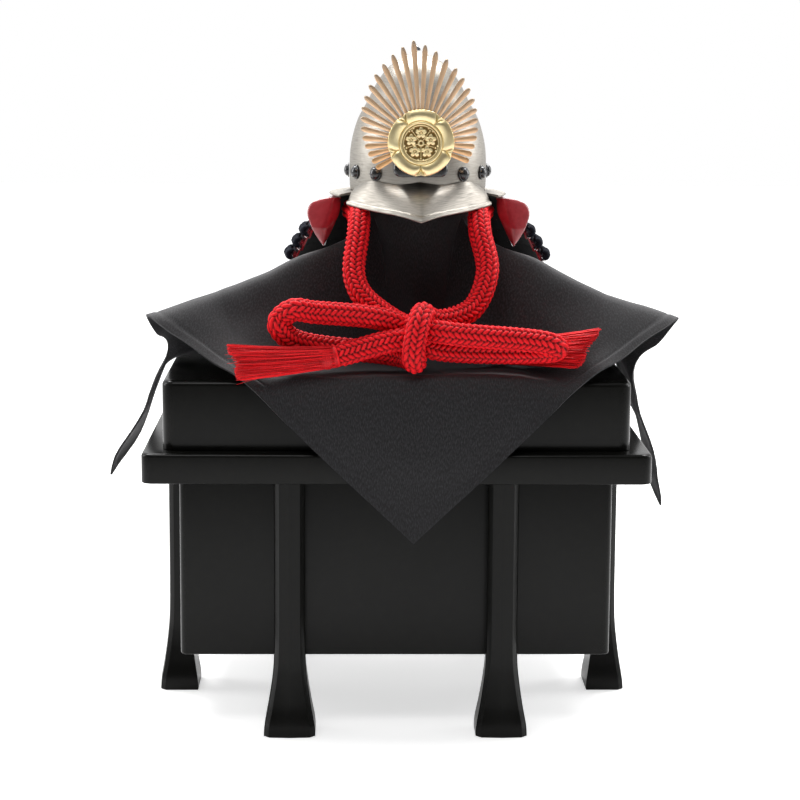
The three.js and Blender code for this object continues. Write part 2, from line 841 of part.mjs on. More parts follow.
function post() {
  const foot = lidTop + clearance - rimZ;
  const profile = [
    [0, foot], [postRadius, foot],
    ...postLevels.slice().reverse().map(({ height, radius }) => [radius, height * bowlHeight]),
  ];
  const rings = profile.map(([radius, z]) => {
    const ring = [];
    for (let i = 0; i < 20; i += 1) {
      ring.push(point(radius * Math.sin(i * 18 * degree), -radius * Math.cos(i * 18 * degree), z));
    }
    return ring;
  });
  return loft(rings);
}

add(helmet, 'helmet_post', post(), wood());

// Cloth, one rib for each row: where it leaves the neck, folds over the lid's edge and ends.
// Across and out are shares of the lid's half width and half depth, rises are shares of rimHeight.
const frontRib = {
  leave: 0.1, lie: 0.62, foldAcross: 0, foldOut: 1.012, foldRise: 0.016,
  hemAcross: 0, hemOut: 1.155, hemRise: -0.886, slide: 0, billow: 0.05,
};
const sideRib = {
  leave: 0.66, lie: 0.42, foldAcross: 1.014, foldOut: 0, foldRise: 0.016,
  hemAcross: 1.212, hemOut: 0, hemRise: -0.817, slide: 1, billow: 0.02,
};
const frontQuarter = [
  {
    leave: 0.14, lie: 0.62, foldAcross: 0.241, foldOut: 1.012, foldRise: 0.016,
    hemAcross: 0.283, hemOut: 1.147, hemRise: -0.538, slide: 0, billow: 0.045,
  },
  {
    leave: 0.36, lie: 0.55, foldAcross: 0.48, foldOut: 1.012, foldRise: 0.016,
    hemAcross: 0.53, hemOut: 1.1, hemRise: -0.236, slide: 0, billow: 0.02,
  },
  {
    leave: 0.57, lie: 0.44, foldAcross: 0.63, foldOut: 0.985, foldRise: 0.014,
    hemAcross: 0.717, hemOut: 1.045, hemRise: -0.008, slide: 0, billow: 0.01,
  },
  {
    leave: 0.78, lie: 0.14, foldAcross: 0.77, foldOut: 0.82, foldRise: 0.22,
    hemAcross: 0.925, hemOut: 0.96, hemRise: 0.16, slide: 0, billow: 0,
  },
  {
    leave: 0.84, lie: 0.1, foldAcross: 0.84, foldOut: 0.65, foldRise: 0.45,
    hemAcross: 1.13, hemOut: 0.873, hemRise: 0.335, slide: 0, billow: 0,
  },
  {
    leave: 0.83, lie: 0.12, foldAcross: 0.86, foldOut: 0.52, foldRise: 0.34,
    hemAcross: 1.09, hemOut: 0.66, hemRise: 0.2, slide: 0.3, billow: 0,
  },
  {
    leave: 0.78, lie: 0.24, foldAcross: 0.93, foldOut: 0.44, foldRise: 0.1,
    hemAcross: 1.03, hemOut: 0.48, hemRise: 0.07, slide: 0.6, billow: 0.01,
  },
  {
    leave: 0.7, lie: 0.4, foldAcross: 1.014, foldOut: 0.24, foldRise: 0.016,
    hemAcross: 1.11, hemOut: 0.25, hemRise: -0.33, slide: 0.9, billow: 0.02,
  },
];
const backRib = {
  leave: 0.3, lie: 0.5, foldAcross: 0, foldOut: 1.012, foldRise: 0.016,
  hemAcross: 0, hemOut: 1.155, hemRise: -0.886, slide: 0, billow: 0.05,
};
const backQuarter = [
  {
    leave: 0.34, lie: 0.5, foldAcross: 0.241, foldOut: 1.012, foldRise: 0.016,
    hemAcross: 0.283, hemOut: 1.147, hemRise: -0.538, slide: 0, billow: 0.045,
  },
  {
    leave: 0.4, lie: 0.45, foldAcross: 0.48, foldOut: 1.012, foldRise: 0.016,
    hemAcross: 0.53, hemOut: 1.1, hemRise: -0.236, slide: 0, billow: 0.02,
  },
  {
    leave: 0.48, lie: 0.4, foldAcross: 0.63, foldOut: 0.985, foldRise: 0.014,
    hemAcross: 0.717, hemOut: 1.045, hemRise: -0.008, slide: 0, billow: 0.01,
  },
  {
    leave: 0.58, lie: 0.25, foldAcross: 0.77, foldOut: 0.82, foldRise: 0.1,
    hemAcross: 0.925, hemOut: 0.96, hemRise: 0.04, slide: 0, billow: 0,
  },
  {
    leave: 0.64, lie: 0.15, foldAcross: 0.84, foldOut: 0.65, foldRise: 0.22,
    hemAcross: 1.09, hemOut: 0.873, hemRise: 0.07, slide: 0, billow: 0,
  },
  {
    leave: 0.66, lie: 0.2, foldAcross: 0.86, foldOut: 0.52, foldRise: 0.17,
    hemAcross: 1.07, hemOut: 0.66, hemRise: 0.05, slide: 0.3, billow: 0,
  },
  {
    leave: 0.65, lie: 0.3, foldAcross: 0.93, foldOut: 0.44, foldRise: 0.085,
    hemAcross: 1.03, hemOut: 0.48, hemRise: 0.055, slide: 0.6, billow: 0.01,
  },
  {
    leave: 0.63, lie: 0.42, foldAcross: 1.014, foldOut: 0.24, foldRise: 0.016,
    hemAcross: 1.11, hemOut: 0.25, hemRise: -0.33, slide: 0.9, billow: 0.02,
  },
];

// A corner that hangs beside the flange or just over it stays outside the flange's edge
function overFlange(corner, rib, sideX, sideY) {
  if (corner.z > flangeTop + clothShoulder - rimZ) {
    return corner;
  }
  if (rib.foldOut > 0.95) {
    corner.y = sideY * Math.max(sideY * corner.y, flangeDepth / 2 + 2 * clearance);
  }
  if (rib.foldAcross > 1) {
    const across = sideX * (corner.x + headAcross);
    corner.x = sideX * Math.max(across, flangeWidth / 2 + 2 * clearance) - headAcross;
  }
  return corner;
}

function ribPoints(rib, sideX, sideY) {
  const shift = clothShift * (1 - rib.slide);
  const slide = clothShift * rib.slide * sideX;
  const fold = point(
    sideX * rib.foldAcross * lidHalfWidth + shift - headAcross,
    sideY * rib.foldOut * lidHalfDepth,
    (rib.foldRise - 1) * rimHeight,
  );
  const hem = point(
    sideX * rib.hemAcross * lidHalfWidth + shift - headAcross,
    sideY * rib.hemOut * lidHalfDepth,
    (rib.hemRise - 1) * rimHeight - slide,
  );
  const outward = point(fold.x, fold.y, 0).normalize();
  const corners = postLevels.map(({ height, radius }) => {
    const gap = radius > 0 ? 2 * clearance : 0;
    return outward.clone().multiplyScalar(radius + gap).setZ(height * bowlHeight + clearance);
  });
  const leave = outward.clone().multiplyScalar(postRadius + clearance * 2);
  leave.z = (rib.leave - 1) * rimHeight;
  corners.push(leave);
  const run = Math.hypot(fold.x, fold.y) - postRadius;
  const turnDown = leave.clone().addScaledVector(outward, run * 0.03);
  turnDown.z -= (leave.z - fold.z) * mix(0.25, 0.95, Math.min(rib.lie * 1.6, 1));
  const turnOut = fold.clone().addScaledVector(outward, -rib.lie * run);
  turnOut.z += (leave.z - fold.z) * 0.12 * (1 - rib.lie);
  const slope = new THREE.CubicBezierCurve3(leave, turnDown, turnOut, fold);
  for (const t of [0.1, 0.25, 0.5, 0.75, 1]) {
    corners.push(slope.getPoint(t));
  }
  const away = point(hem.x - fold.x, hem.y - fold.y, 0).normalize();
  for (const t of [0.12, 0.42, 0.7, 1]) {
    const corner = fold.clone().lerp(hem, t);
    corner.addScaledVector(away, rib.billow * lidHalfDepth * Math.sin(Math.PI * t ** 0.7));
    corners.push(overFlange(corner, rib, sideX, sideY));
  }
  return corners;
}

function allRibs() {
  const quarter = (ribs, sideX, sideY) => ribs.map((rib) => ribPoints(rib, sideX, sideY));
  return [
    ribPoints(frontRib, 1, -1),
    ...quarter(frontQuarter, 1, -1),
    ribPoints(sideRib, 1, 1),
    ...quarter(backQuarter, 1, 1).reverse(),
    ribPoints(backRib, 1, 1),
    ...quarter(backQuarter, -1, 1),
    ribPoints(sideRib, -1, 1),
    ...quarter(frontQuarter, -1, -1).reverse(),
  ];
}

function cloth() {
  const ribs = allRibs();
  const inner = ribs[0].map((corner, i) => ribs.map((rib) => rib[i]));
  const outer = offsetGrid(inner, -clothWall, true);
  outer[0] = outer[0].map(() => point(0, 0, inner[0][0].z + clothWall));
  return loft([...inner, ...outer.reverse()], true, inner.length);
}

add(helmet, 'cloth', cloth(), blackSatin());

// Chin cord, from one tassel through the bow, round the neck and back to the other tassel

const cordRoute = [
  [-42, -128, 275], [-0.3, -121, 285], [14, -118, 283.5], [28, -117, 278.5],
  [106, -125.6, 278.4], [112, -129, 280.5], [106, -132, 284.5], [36, -128, 291],
  [5, -108, 294], [-8, -98, 300], [-25, -88, 313.5], [-30.5, -79, 327],
  [-27.5, -58, 356], [-27, -42, 366], [-31, 4, 368], [-17.5, 34.5, 368],
  [17, 48.5, 368], [51.5, 34.5, 368], [65.5, 4, 368], [61, -42, 366],
  [61, -58, 356], [65.5, -77, 329], [54, -91, 304], [29, -105, 297],
  [20, -110, 301], [17.5, -121, 304], [14.5, -131, 298], [11, -134.5, 277],
  [12, -129, 271.2], [12, -118, 270.4], [5, -108, 271.5], [-8, -104, 273.5],
  [-73, -111, 283.5], [-83.5, -115.2, 294.4], [-82.5, -114.5, 299], [-73.4, -116.2, 305.7],
  [-59.4, -113.5, 304], [-7, -111, 298], [42, -95, 275], [70, -93, 272.5],
].map((place) => point(...place));

function tube(path, steps) {
  const section = new THREE.Shape();
  for (let i = 0; i < cordSides; i += 1) {
    const angle = 2 * Math.PI * i / cordSides;
    const corner = [cordDiameter / 2 * Math.cos(angle), cordDiameter / 2 * Math.sin(angle)];
    section[i === 0 ? 'moveTo' : 'lineTo'](...corner);
  }
  return new THREE.ExtrudeGeometry(section, { steps, extrudePath: path, bevelEnabled: false });
}

// Rows of the route where one stretch of tube ends and the next begins
const cordJoins = [0, 7, 22, 32, cordRoute.length - 1];

// Stretches joined into one solid, so that the bow's runs may press on each other
function chinCord() {
  const whole = new THREE.CatmullRomCurve3(cordRoute, false, 'centripetal');
  const pieces = [];
  for (let i = 1; i < cordJoins.length; i += 1) {
    const from = cordJoins[i - 1] / (cordRoute.length - 1);
    const to = cordJoins[i] / (cordRoute.length - 1);
    const points = [];
    for (let k = 0; k <= 40; k += 1) {
      points.push(whole.getPoint(mix(from, to, k / 40)));
    }
    const path = new THREE.CatmullRomCurve3(points, false, 'centripetal');
    pieces.push(tube(path, Math.round(path.getLength() / cordStep)));
  }
  return fused(pieces);
}

// A tassel: a round head and locks that spread to a flat ragged end
function tassel(start, direction, end) {
  const low = point(...end.low);
  const high = point(...end.high);
  const axis = direction.clone().normalize();
  const head = start.clone().addScaledVector(axis, clearance);
  const parts = [];
  const spread = high.clone().sub(low);
  const middle = low.clone().add(high).multiplyScalar(0.5);
  const ringAt = (centre, along, half, wide) => {
    const side = spread.clone().normalize();
    const face = point(0, 0, 0).crossVectors(along, side).normalize();
    const up = point(0, 0, 0).crossVectors(face, along).normalize();
    const ring = [];
    for (let j = 0; j < tasselSides; j += 1) {
      const angle = 2 * Math.PI * j / tasselSides;
      const corner = centre.clone().addScaledVector(up, wide * Math.cos(angle));
      ring.push(corner.addScaledVector(face, half * Math.sin(angle)));
    }
    return ring;
  };
  const radius = cordDiameter / 2;
  const neck = head.clone().addScaledVector(axis, tasselHead);
  parts.push(loft([
    ringAt(head, axis, radius * 0.92, radius * 0.92),
    ringAt(head.clone().addScaledVector(axis, 1.5), axis, radius, radius),
    ringAt(neck, axis, radius * 0.9, radius),
    ringAt(neck.clone().lerp(middle, 0.25), axis, radius * 0.6, radius * 0.9),
  ]));
  for (let i = 0; i < tasselLocks; i += 1) {
    const share = i / (tasselLocks - 1);
    const ragged = 1 + 0.05 * Math.sin(i * 2.3);
    const tip = low.clone().lerp(high, share);
    const layer = (i % 2 ? 1 : -1) * tasselLayer;
    const up = spread.clone().normalize();
    const root = head.clone().addScaledVector(axis, tasselHead * 0.5)
      .addScaledVector(up, (share - 0.5) * radius * 1.5);
    const far = root.clone().lerp(tip, ragged);
    const face = point(0, 0, 0).crossVectors(axis, up).normalize();
    const line = far.clone().sub(root).normalize();
    const wide = spread.length() / tasselLocks * 0.62;
    parts.push(loft([0, 0.5, 1].map((t) => {
      const centre = root.clone().lerp(far, t).addScaledVector(face, layer * (0.5 + 0.5 * t));
      return ringAt(centre, line, mix(4, 2.6, t), mix(2.6, wide, t));
    })));
  }
  return fused(parts);
}

add(model, 'chin_cord', chinCord(), redBraid());
const cordPath = new THREE.CatmullRomCurve3(cordRoute, false, 'centripetal');
const cordStart = cordPath.getTangent(0).negate();
const leftTassel = tassel(cordRoute[0], cordStart, leftTasselEnd);
add(model, 'tassel_left', leftTassel, redSilk());
const rightTassel = tassel(cordRoute.at(-1), cordPath.getTangent(1), rightTasselEnd);
add(model, 'tassel_right', rightTassel, redSilk());

export default model;
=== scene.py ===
# A festival kabuto helmet on its lacquer chest: looks, light and camera.
# Lengths in the shapes are millimetres in the part's frame, and pieces are made in metres.
import math

import bmesh
import bpy
import numpy as np
from mathutils import Matrix, Vector, noise

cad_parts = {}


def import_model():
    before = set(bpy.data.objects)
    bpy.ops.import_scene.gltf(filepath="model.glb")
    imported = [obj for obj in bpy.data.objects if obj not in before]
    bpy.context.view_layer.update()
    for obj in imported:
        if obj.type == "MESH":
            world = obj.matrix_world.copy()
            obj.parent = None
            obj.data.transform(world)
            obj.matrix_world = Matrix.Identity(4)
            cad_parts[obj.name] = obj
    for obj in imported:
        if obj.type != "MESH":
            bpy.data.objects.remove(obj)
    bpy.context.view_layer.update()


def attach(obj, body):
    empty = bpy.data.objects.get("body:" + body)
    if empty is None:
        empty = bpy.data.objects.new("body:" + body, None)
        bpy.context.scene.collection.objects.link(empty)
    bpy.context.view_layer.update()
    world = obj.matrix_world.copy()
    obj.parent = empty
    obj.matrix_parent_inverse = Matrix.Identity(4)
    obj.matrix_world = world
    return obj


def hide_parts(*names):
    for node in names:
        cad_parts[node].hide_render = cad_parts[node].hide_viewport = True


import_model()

MM = 0.001
DEG = math.pi / 180
rng = np.random.default_rng(7)

# Sizes shared with the solids
CHEST = (310.0, 230.0, 130.0)
CHEST_CORNER = 5.0
CHEST_WALL = 7.0
FLOOR_GAP = 55.0
FLANGE = (360.0, 280.0, 21.5)
FLANGE_EDGE = 2.5
LID = (332.0, 252.0, 49.5)
LID_EDGE = 4.0
CLEARANCE = 0.3
FLANGE_TOP = FLOOR_GAP + CHEST[2] + CLEARANCE + FLANGE[2]
LID_TOP = FLANGE_TOP + CLEARANCE + LID[2]
RIM_HEIGHT = 127.0
RIM_Z = LID_TOP + RIM_HEIGHT
HEAD_ACROSS = 17.0
HELMET = np.array([HEAD_ACROSS, 0.0, RIM_Z])

POST_RADIUS = 36.5
HEAD_RADIUS = 26.0
BOWL_HALF_WIDTH = 50.7
BOWL_HALF_LENGTH = 60.0
BOWL_HEIGHT = 102.6
BOWL_WALL = 2.0
KEEL_HEIGHT = 2.2
KEEL_SPREAD = 8.0
CLOTH_WALL = 1.6
CLOTH_SHIFT = 11.6
CLOTH_SHOULDER = 12.0
CORD_DIAMETER = 16.0

# Camera

CAMERA_PLACE = Vector((-0.033532, -1.684351, 0.494355))
CAMERA_YAW = 1.304 * DEG
CAMERA_PITCH = 9.147 * DEG
CAMERA_ROLL = 0.362 * DEG


def make_camera():
    data = bpy.data.cameras.new("camera")
    data.sensor_width = 36.0
    data.lens = 2240.085 / 800.0 * 36.0
    data.clip_end = 20.0
    camera = bpy.data.objects.new("camera", data)
    bpy.context.scene.collection.objects.link(camera)
    yaw, pitch, roll = CAMERA_YAW, CAMERA_PITCH, CAMERA_ROLL
    forward = Vector((math.sin(yaw) * math.cos(pitch), math.cos(yaw) * math.cos(pitch), -math.sin(pitch)))
    right = Vector((math.cos(yaw), -math.sin(yaw), 0.0))
    up = right.cross(forward)
    right, up = (math.cos(roll) * right + math.sin(roll) * up, math.cos(roll) * up - math.sin(roll) * right)
    turn = Matrix((right, up, -forward)).transposed().to_4x4()
    camera.matrix_world = Matrix.Translation(CAMERA_PLACE) @ turn
    bpy.context.scene.camera = camera


make_camera()

# Curves


def catmull(points, t):
    """Centripetal curve through points, t from 0 to 1."""
    p = np.asarray(points, float)
    n = len(p)
    padded = np.vstack([2 * p[0] - p[1], p, 2 * p[-1] - p[-2]])
    place = np.clip(np.asarray(t, float), 0, 1) * (n - 1)
    i = np.minimum(place.astype(int), n - 2)
    w = (place - i)[:, None]
    p0, p1, p2, p3 = padded[i], padded[i + 1], padded[i + 2], padded[i + 3]

    def gap(a, b):
        return np.sqrt(np.maximum(np.linalg.norm(b - a, axis=1), 1e-8))[:, None]

    d0, d1, d2 = gap(p0, p1), gap(p1, p2), gap(p2, p3)
    t1 = ((p1 - p0) / d0 - (p2 - p0) / (d0 + d1) + (p2 - p1) / d1) * d1
    t2 = ((p2 - p1) / d1 - (p3 - p1) / (d1 + d2) + (p3 - p2) / d2) * d1
    return p1 + t1 * w + (3 * (p2 - p1) - 2 * t1 - t2) * w ** 2 + (2 * (p1 - p2) + t1 + t2) * w ** 3


def smooth_table(rows):
    samples = catmull(rows, np.linspace(0, 1, len(rows) * 12 + 1))
    return lambda x: np.interp(x, samples[:, 0], samples[:, 1])


def even_path(points, step):
    """The curve at even steps of its own length, with that length."""
    dense = catmull(points, np.linspace(0, 1, len(points) * 60))
    run = np.concatenate([[0], np.cumsum(np.linalg.norm(np.diff(dense, axis=0), axis=1))])
    count = max(int(round(run[-1] / step)), 2)
    at = np.linspace(0, run[-1], count + 1)
    return np.stack([np.interp(at, run, dense[:, k]) for k in range(3)], 1), run[-1]


def unit(v):
    return v / np.maximum(np.linalg.norm(v, axis=-1, keepdims=True), 1e-12)


def carried_frames(path, first=(0.0, 0.0, 1.0)):
    """Two directions across a path, carried along it without twist."""
    tangents = unit(np.gradient(path, axis=0))
    side = np.zeros_like(path)
    across = unit(np.cross(tangents[0], first))
    for i, tangent in enumerate(tangents):
        across = unit(across - tangent * across.dot(tangent))
        side[i] = across
    return tangents, side, np.cross(tangents, side)


def smoothstep(low, high, x):
    t = np.clip((x - low) / (high - low), 0, 1)
    return t * t * (3 - 2 * t)


# Meshes


def grid_faces(rows, cols, wrap_rows=False, wrap_cols=False, start=0):
    i = np.arange(rows if wrap_rows else rows - 1)
    j = np.arange(cols if wrap_cols else cols - 1)
    i, j = np.meshgrid(i, j, indexing="ij")
    k, m = (i + 1) % rows, (j + 1) % cols
    quads = np.stack([i * cols + j, i * cols + m, k * cols + m, k * cols + j], -1)
    return (quads.reshape(-1, 4) + start).tolist()


def piece(name, vertices, faces, material, replaces, uv, period=None, sharp=None, values=None):
    """A mesh object that rides on the root body and stands for CAD nodes.

    uv is one pair in metres for each vertex, and period is how far it runs once round.
    """
    mesh = bpy.data.meshes.new(name)
    mesh.from_pydata((np.asarray(vertices, float) * MM).tolist(), [], faces)
    mesh.update()
    index = np.zeros(len(mesh.loops), int)
    mesh.loops.foreach_get("vertex_index", index)
    flat = np.asarray(uv, float)[index]
    if period:
        starts = np.zeros(len(mesh.polygons), int)
        totals = np.zeros(len(mesh.polygons), int)
        mesh.polygons.foreach_get("loop_start", starts)
        mesh.polygons.foreach_get("loop_total", totals)
        owner = np.repeat(np.arange(len(starts)), totals)
        low = np.full(len(starts), 1e9)
        high = np.full(len(starts), -1e9)
        np.minimum.at(low, owner, flat[:, 0])
        np.maximum.at(high, owner, flat[:, 0])
        split = (high - low)[owner] > period / 2
        flat[:, 0] += np.where(split & (flat[:, 0] < period / 2), period, 0)
    mesh.uv_layers.new(name="flat").data.foreach_set("uv", flat.ravel())
    for key, numbers in (values or {}).items():
        attribute = mesh.attributes.new(key, "FLOAT", "POINT")
        attribute.data.foreach_set("value", np.asarray(numbers, np.float32))
    shape = bmesh.new()
    shape.from_mesh(mesh)
    bmesh.ops.recalc_face_normals(shape, faces=shape.faces)
    shape.to_mesh(mesh)
    shape.free()
    mesh.shade_smooth()
    if sharp is not None:
        mesh.set_sharp_from_angle(angle=sharp * DEG)
    obj = bpy.data.objects.new(name, mesh)
    bpy.context.scene.collection.objects.link(obj)
    mesh.materials.append(material)
    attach(obj, "root")
    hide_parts(*replaces)
    return obj


def joined(parts):
    """Vertices, faces and uv of several parts as one."""
    vertices, faces, uvs = [], [], []
    for v, f, uv in parts:
        start = len(vertices)
        vertices.extend(np.asarray(v, float).tolist())
        faces.extend([[k + start for k in face] for face in f])
        uvs.extend(np.asarray(uv, float).tolist())
    return np.array(vertices), faces, np.array(uvs)


def lofted(rings, closed=False):
    """Vertices and faces through rings of equal count, and a uv pair for each vertex."""
    rings = np.asarray(rings, float)
    rows, cols = rings.shape[:2]
    vertices = rings.reshape(-1, 3)
    faces = grid_faces(rows, cols, wrap_rows=closed, wrap_cols=True)
    if not closed:
        faces.append(list(range(cols))[::-1])
        faces.append([(rows - 1) * cols + k for k in range(cols)])
    along = np.concatenate([[0], np.cumsum(np.linalg.norm(np.diff(rings.mean(1), axis=0), axis=1))])
    around = np.concatenate([[0], np.cumsum(np.linalg.norm(np.diff(rings[0], axis=0), axis=1))])
    uv = np.stack(np.meshgrid(along, around, indexing="ij"), -1).reshape(-1, 2) * MM
    return vertices, faces, uv


def lofted_piece(name, rings, material, node, sharp, closed=False):
    vertices, faces, uv = lofted(rings, closed=closed)
    return piece(name, vertices, faces, material, [node], uv, sharp=sharp)


def tube(path, radius, sides, first=(0.0, 0.0, 1.0), profile=None):
    _, side, up = carried_frames(path, first)
    angles = np.linspace(0, 2 * np.pi, sides, endpoint=False)
    r = np.broadcast_to(np.asarray(radius, float), (len(path),))[:, None, None]
    ring = np.cos(angles)[None, :, None] * side[:, None] + np.sin(angles)[None, :, None] * up[:, None]
    return path[:, None] + ring * r * (1 if profile is None else profile)


def shell(outer, inner, wrap=False):
    """A closed wall between two grids of equal shape."""
    outer, inner = np.asarray(outer, float), np.asarray(inner, float)
    rows, cols = outer.shape[:2]
    vertices = np.vstack([outer.reshape(-1, 3), inner.reshape(-1, 3)])
    faces = grid_faces(rows, cols, wrap_cols=wrap)
    faces += grid_faces(rows, cols, wrap_cols=wrap, start=rows * cols)
    count = rows * cols

    def seam(line):
        return [[a, b, b + count, a + count] for a, b in zip(line, line[1:])]

    last = (rows - 1) * cols
    loop = [0] if wrap else []
    faces += seam(list(range(cols)) + loop) + seam([last + k for k in range(cols)] + [last + k for k in loop])
    if not wrap:
        faces += seam([k * cols for k in range(rows)]) + seam([k * cols + cols - 1 for k in range(rows)])
    return vertices, faces


def grid_normals(grid, wrap=False):
    if wrap:
        padded = np.concatenate([grid[:, -1:], grid, grid[:, :1]], 1)
        across = padded[:, 2:] - padded[:, :-2]
    else:
        across = np.gradient(grid, axis=1)
    return unit(np.cross(across, np.gradient(grid, axis=0)))


def run_lengths(grid, axis):
    steps = np.linalg.norm(np.diff(grid, axis=axis), axis=-1)
    start = np.zeros_like(np.take(steps, [0], axis=axis))
    return np.concatenate([start, np.cumsum(steps, axis=axis)], axis)


def fractal(points, size, seed=0.0):
    """Smooth noise between -1 and 1 at points, with features of the given size."""
    shift = Vector((seed, seed * 1.7, -seed))
    return np.array([noise.noise(Vector(p) / size + shift) for p in np.asarray(points).tolist()])


# Materials


class Finish:
    """A principled material with procedural grain, built up layer by layer."""

    def __init__(self, name, colour, roughness, metallic=0.0, source="Object"):
        self.material = bpy.data.materials.new(name)
        self.material.use_nodes = True
        self.nodes = self.material.node_tree.nodes
        self.links = self.material.node_tree.links
        self.shader = self.nodes["Principled BSDF"]
        self.shader.inputs["Metallic"].default_value = metallic
        self.shader.inputs["Base Color"].default_value = (*colour, 1.0)
        self.shader.inputs["Roughness"].default_value = roughness
        self.colour = colour
        self.roughness = roughness
        self.source = source
        self.normal = None
        self.colour_out = None
        self.rough_out = None
        self.coords = self.nodes.new("ShaderNodeTexCoord")

    def set(self, **numbers):
        for key, value in numbers.items():
            socket = self.shader.inputs[key.replace("_", " ").title().replace("Ior", "IOR")]
            socket.default_value = (*value, 1.0) if isinstance(value, tuple) else value
        return self

    def node(self, kind, **settings):
        node = self.nodes.new(kind)
        for key, value in settings.items():
            if hasattr(node, key):
                setattr(node, key, value)
            else:
                node.inputs[key.replace("_", " ").title()].default_value = value
        return node

    def mapped(self, texture, stretch, turn, source=None):
        mapping = self.node("ShaderNodeMapping")
        mapping.inputs["Scale"].default_value = stretch
        mapping.inputs["Rotation"].default_value = [angle * DEG for angle in turn]
        self.links.new(self.coords.outputs[source or self.source], mapping.inputs["Vector"])
        self.links.new(mapping.outputs[0], texture.inputs["Vector"])
        return texture.outputs["Fac"]

    def noise(self, scale, stretch=(1, 1, 1), turn=(0, 0, 0), detail=4.0, roughness=0.55, source=None):
        """Noise with scale in features per metre, stretched along the axes."""
        texture = self.node("ShaderNodeTexNoise", scale=scale, detail=detail, roughness=roughness)
        return self.mapped(texture, stretch, turn, source)

    def wave(self, scale, turn=(0, 0, 0), distortion=0.0):
        texture = self.node("ShaderNodeTexWave", scale=scale, distortion=distortion, detail=1.0)
        return self.mapped(texture, (1, 1, 1), turn)

    def attribute(self, name):
        return self.node("ShaderNodeAttribute", attribute_name=name).outputs["Fac"]

    def tint(self, factor, colour, low=0.35, high=0.65):
        """Mix the colour towards another where the factor is high."""
        ramp = self.node("ShaderNodeMapRange")
        for key, value in (("From Min", low), ("From Max", high)):
            ramp.inputs[key].default_value = value
        self.links.new(factor, ramp.inputs["Value"])
        blend = self.nodes.new("ShaderNodeMix")
        blend.data_type = "RGBA"
        self.links.new(ramp.outputs[0], blend.inputs["Factor"])
        if self.colour_out is None:
            blend.inputs[6].default_value = (*self.colour, 1.0)
        else:
            self.links.new(self.colour_out, blend.inputs[6])
        blend.inputs[7].default_value = (*colour, 1.0)
        self.colour_out = blend.outputs[2]
        self.links.new(self.colour_out, self.shader.inputs["Base Color"])
        return self

    def rough(self, factor, spread):
        """Roughness between the base value and base plus spread."""
        ramp = self.node("ShaderNodeMapRange")
        for key, value in (("From Min", 0.3), ("From Max", 0.7)):
            ramp.inputs[key].default_value = value
        ramp.inputs["To Min"].default_value = self.roughness
        ramp.inputs["To Max"].default_value = self.roughness + spread
        self.links.new(factor, ramp.inputs["Value"])
        self.links.new(ramp.outputs[0], self.shader.inputs["Roughness"])
        return self

    def bump(self, factor, strength, distance):
        node = self.node("ShaderNodeBump", strength=strength, distance=distance * MM)
        self.links.new(factor, node.inputs["Height"])
        if self.normal is not None:
            self.links.new(self.normal, node.inputs["Normal"])
        self.normal = node.outputs[0]
        self.links.new(self.normal, self.shader.inputs["Normal"])
        return self


f = Finish("black_lacquer", (0.0046, 0.0046, 0.0040), 0.17)
f.set(specular_ior_level=0.16)
f.rough(f.noise(9, detail=6), 0.1)
f.tint(f.noise(160, detail=8), (0.0058, 0.0058, 0.0051), 0.45, 0.75)
f.bump(f.noise(1400, detail=2), 0.03, 0.05)
LACQUER = f.material

f = Finish("post_wood", (0.52, 0.36, 0.21), 0.55)
grain = f.noise(60, stretch=(1, 1, 0.06), detail=6)
f.tint(grain, (0.36, 0.22, 0.11), 0.4, 0.7)
f.rough(grain, 0.2)
f.bump(grain, 0.3, 0.3)
WOOD = f.material

f = Finish("black_satin", (0.0095, 0.0092, 0.0098), 0.55, source="UV")
f.set(sheen_weight=0.2, sheen_roughness=0.45, sheen_tint=(0.85, 0.83, 0.86), specular_ior_level=0.22)
slub = f.noise(980, stretch=(1, 0.42, 1), turn=(0, 0, 66), detail=5)
thread = f.noise(3200, stretch=(1, 0.2, 1), turn=(0, 0, 66), detail=2)
f.tint(slub, (0.034, 0.033, 0.037), 0.44, 0.66)
f.rough(slub, 0.14)
f.bump(thread, 0.25, 0.1)
f.bump(slub, 0.3, 0.2)
SATIN = f.material

f = Finish("brushed_steel", (0.38, 0.355, 0.315), 0.3, 1.0, source="UV")
f.set(anisotropic=0.45)
streaks = f.noise(1900, stretch=(0.05, 1, 1), detail=4)
cloud = f.noise(26, detail=5, source="Object")
f.rough(streaks, 0.2)
f.tint(cloud, (0.34, 0.315, 0.28), 0.4, 0.7)
f.tint(streaks, (0.25, 0.235, 0.21), 0.42, 0.72)
f.bump(streaks, 0.26, 0.07)
f.bump(f.noise(4200, detail=3), 0.2, 0.04)
STEEL = f.material

f = Finish("black_metal", (0.011, 0.011, 0.012), 0.12)
f.set(coat_weight=0.25, coat_roughness=0.05)
f.rough(f.noise(900, detail=5), 0.12)
f.tint(f.noise(1800, detail=4), (0.03, 0.03, 0.032), 0.5, 0.8)
f.bump(f.noise(2600, detail=2), 0.06, 0.04)
BLACK = f.material

f = Finish("rose_copper", (0.84, 0.58, 0.37), 0.38, 1.0, source="UV")
lines = f.noise(3000, stretch=(0.05, 1, 1), detail=3)
f.rough(lines, 0.2)
f.tint(f.noise(110, source="Object"), (0.74, 0.50, 0.31), 0.4, 0.7)
f.tint(f.attribute("tip"), (0.52, 0.43, 0.34), 0.0, 1.0)
f.tint(f.attribute("low"), (0.78, 0.44, 0.19), 0.0, 1.0)
f.bump(lines, 0.15, 0.05)
COPPER = f.material

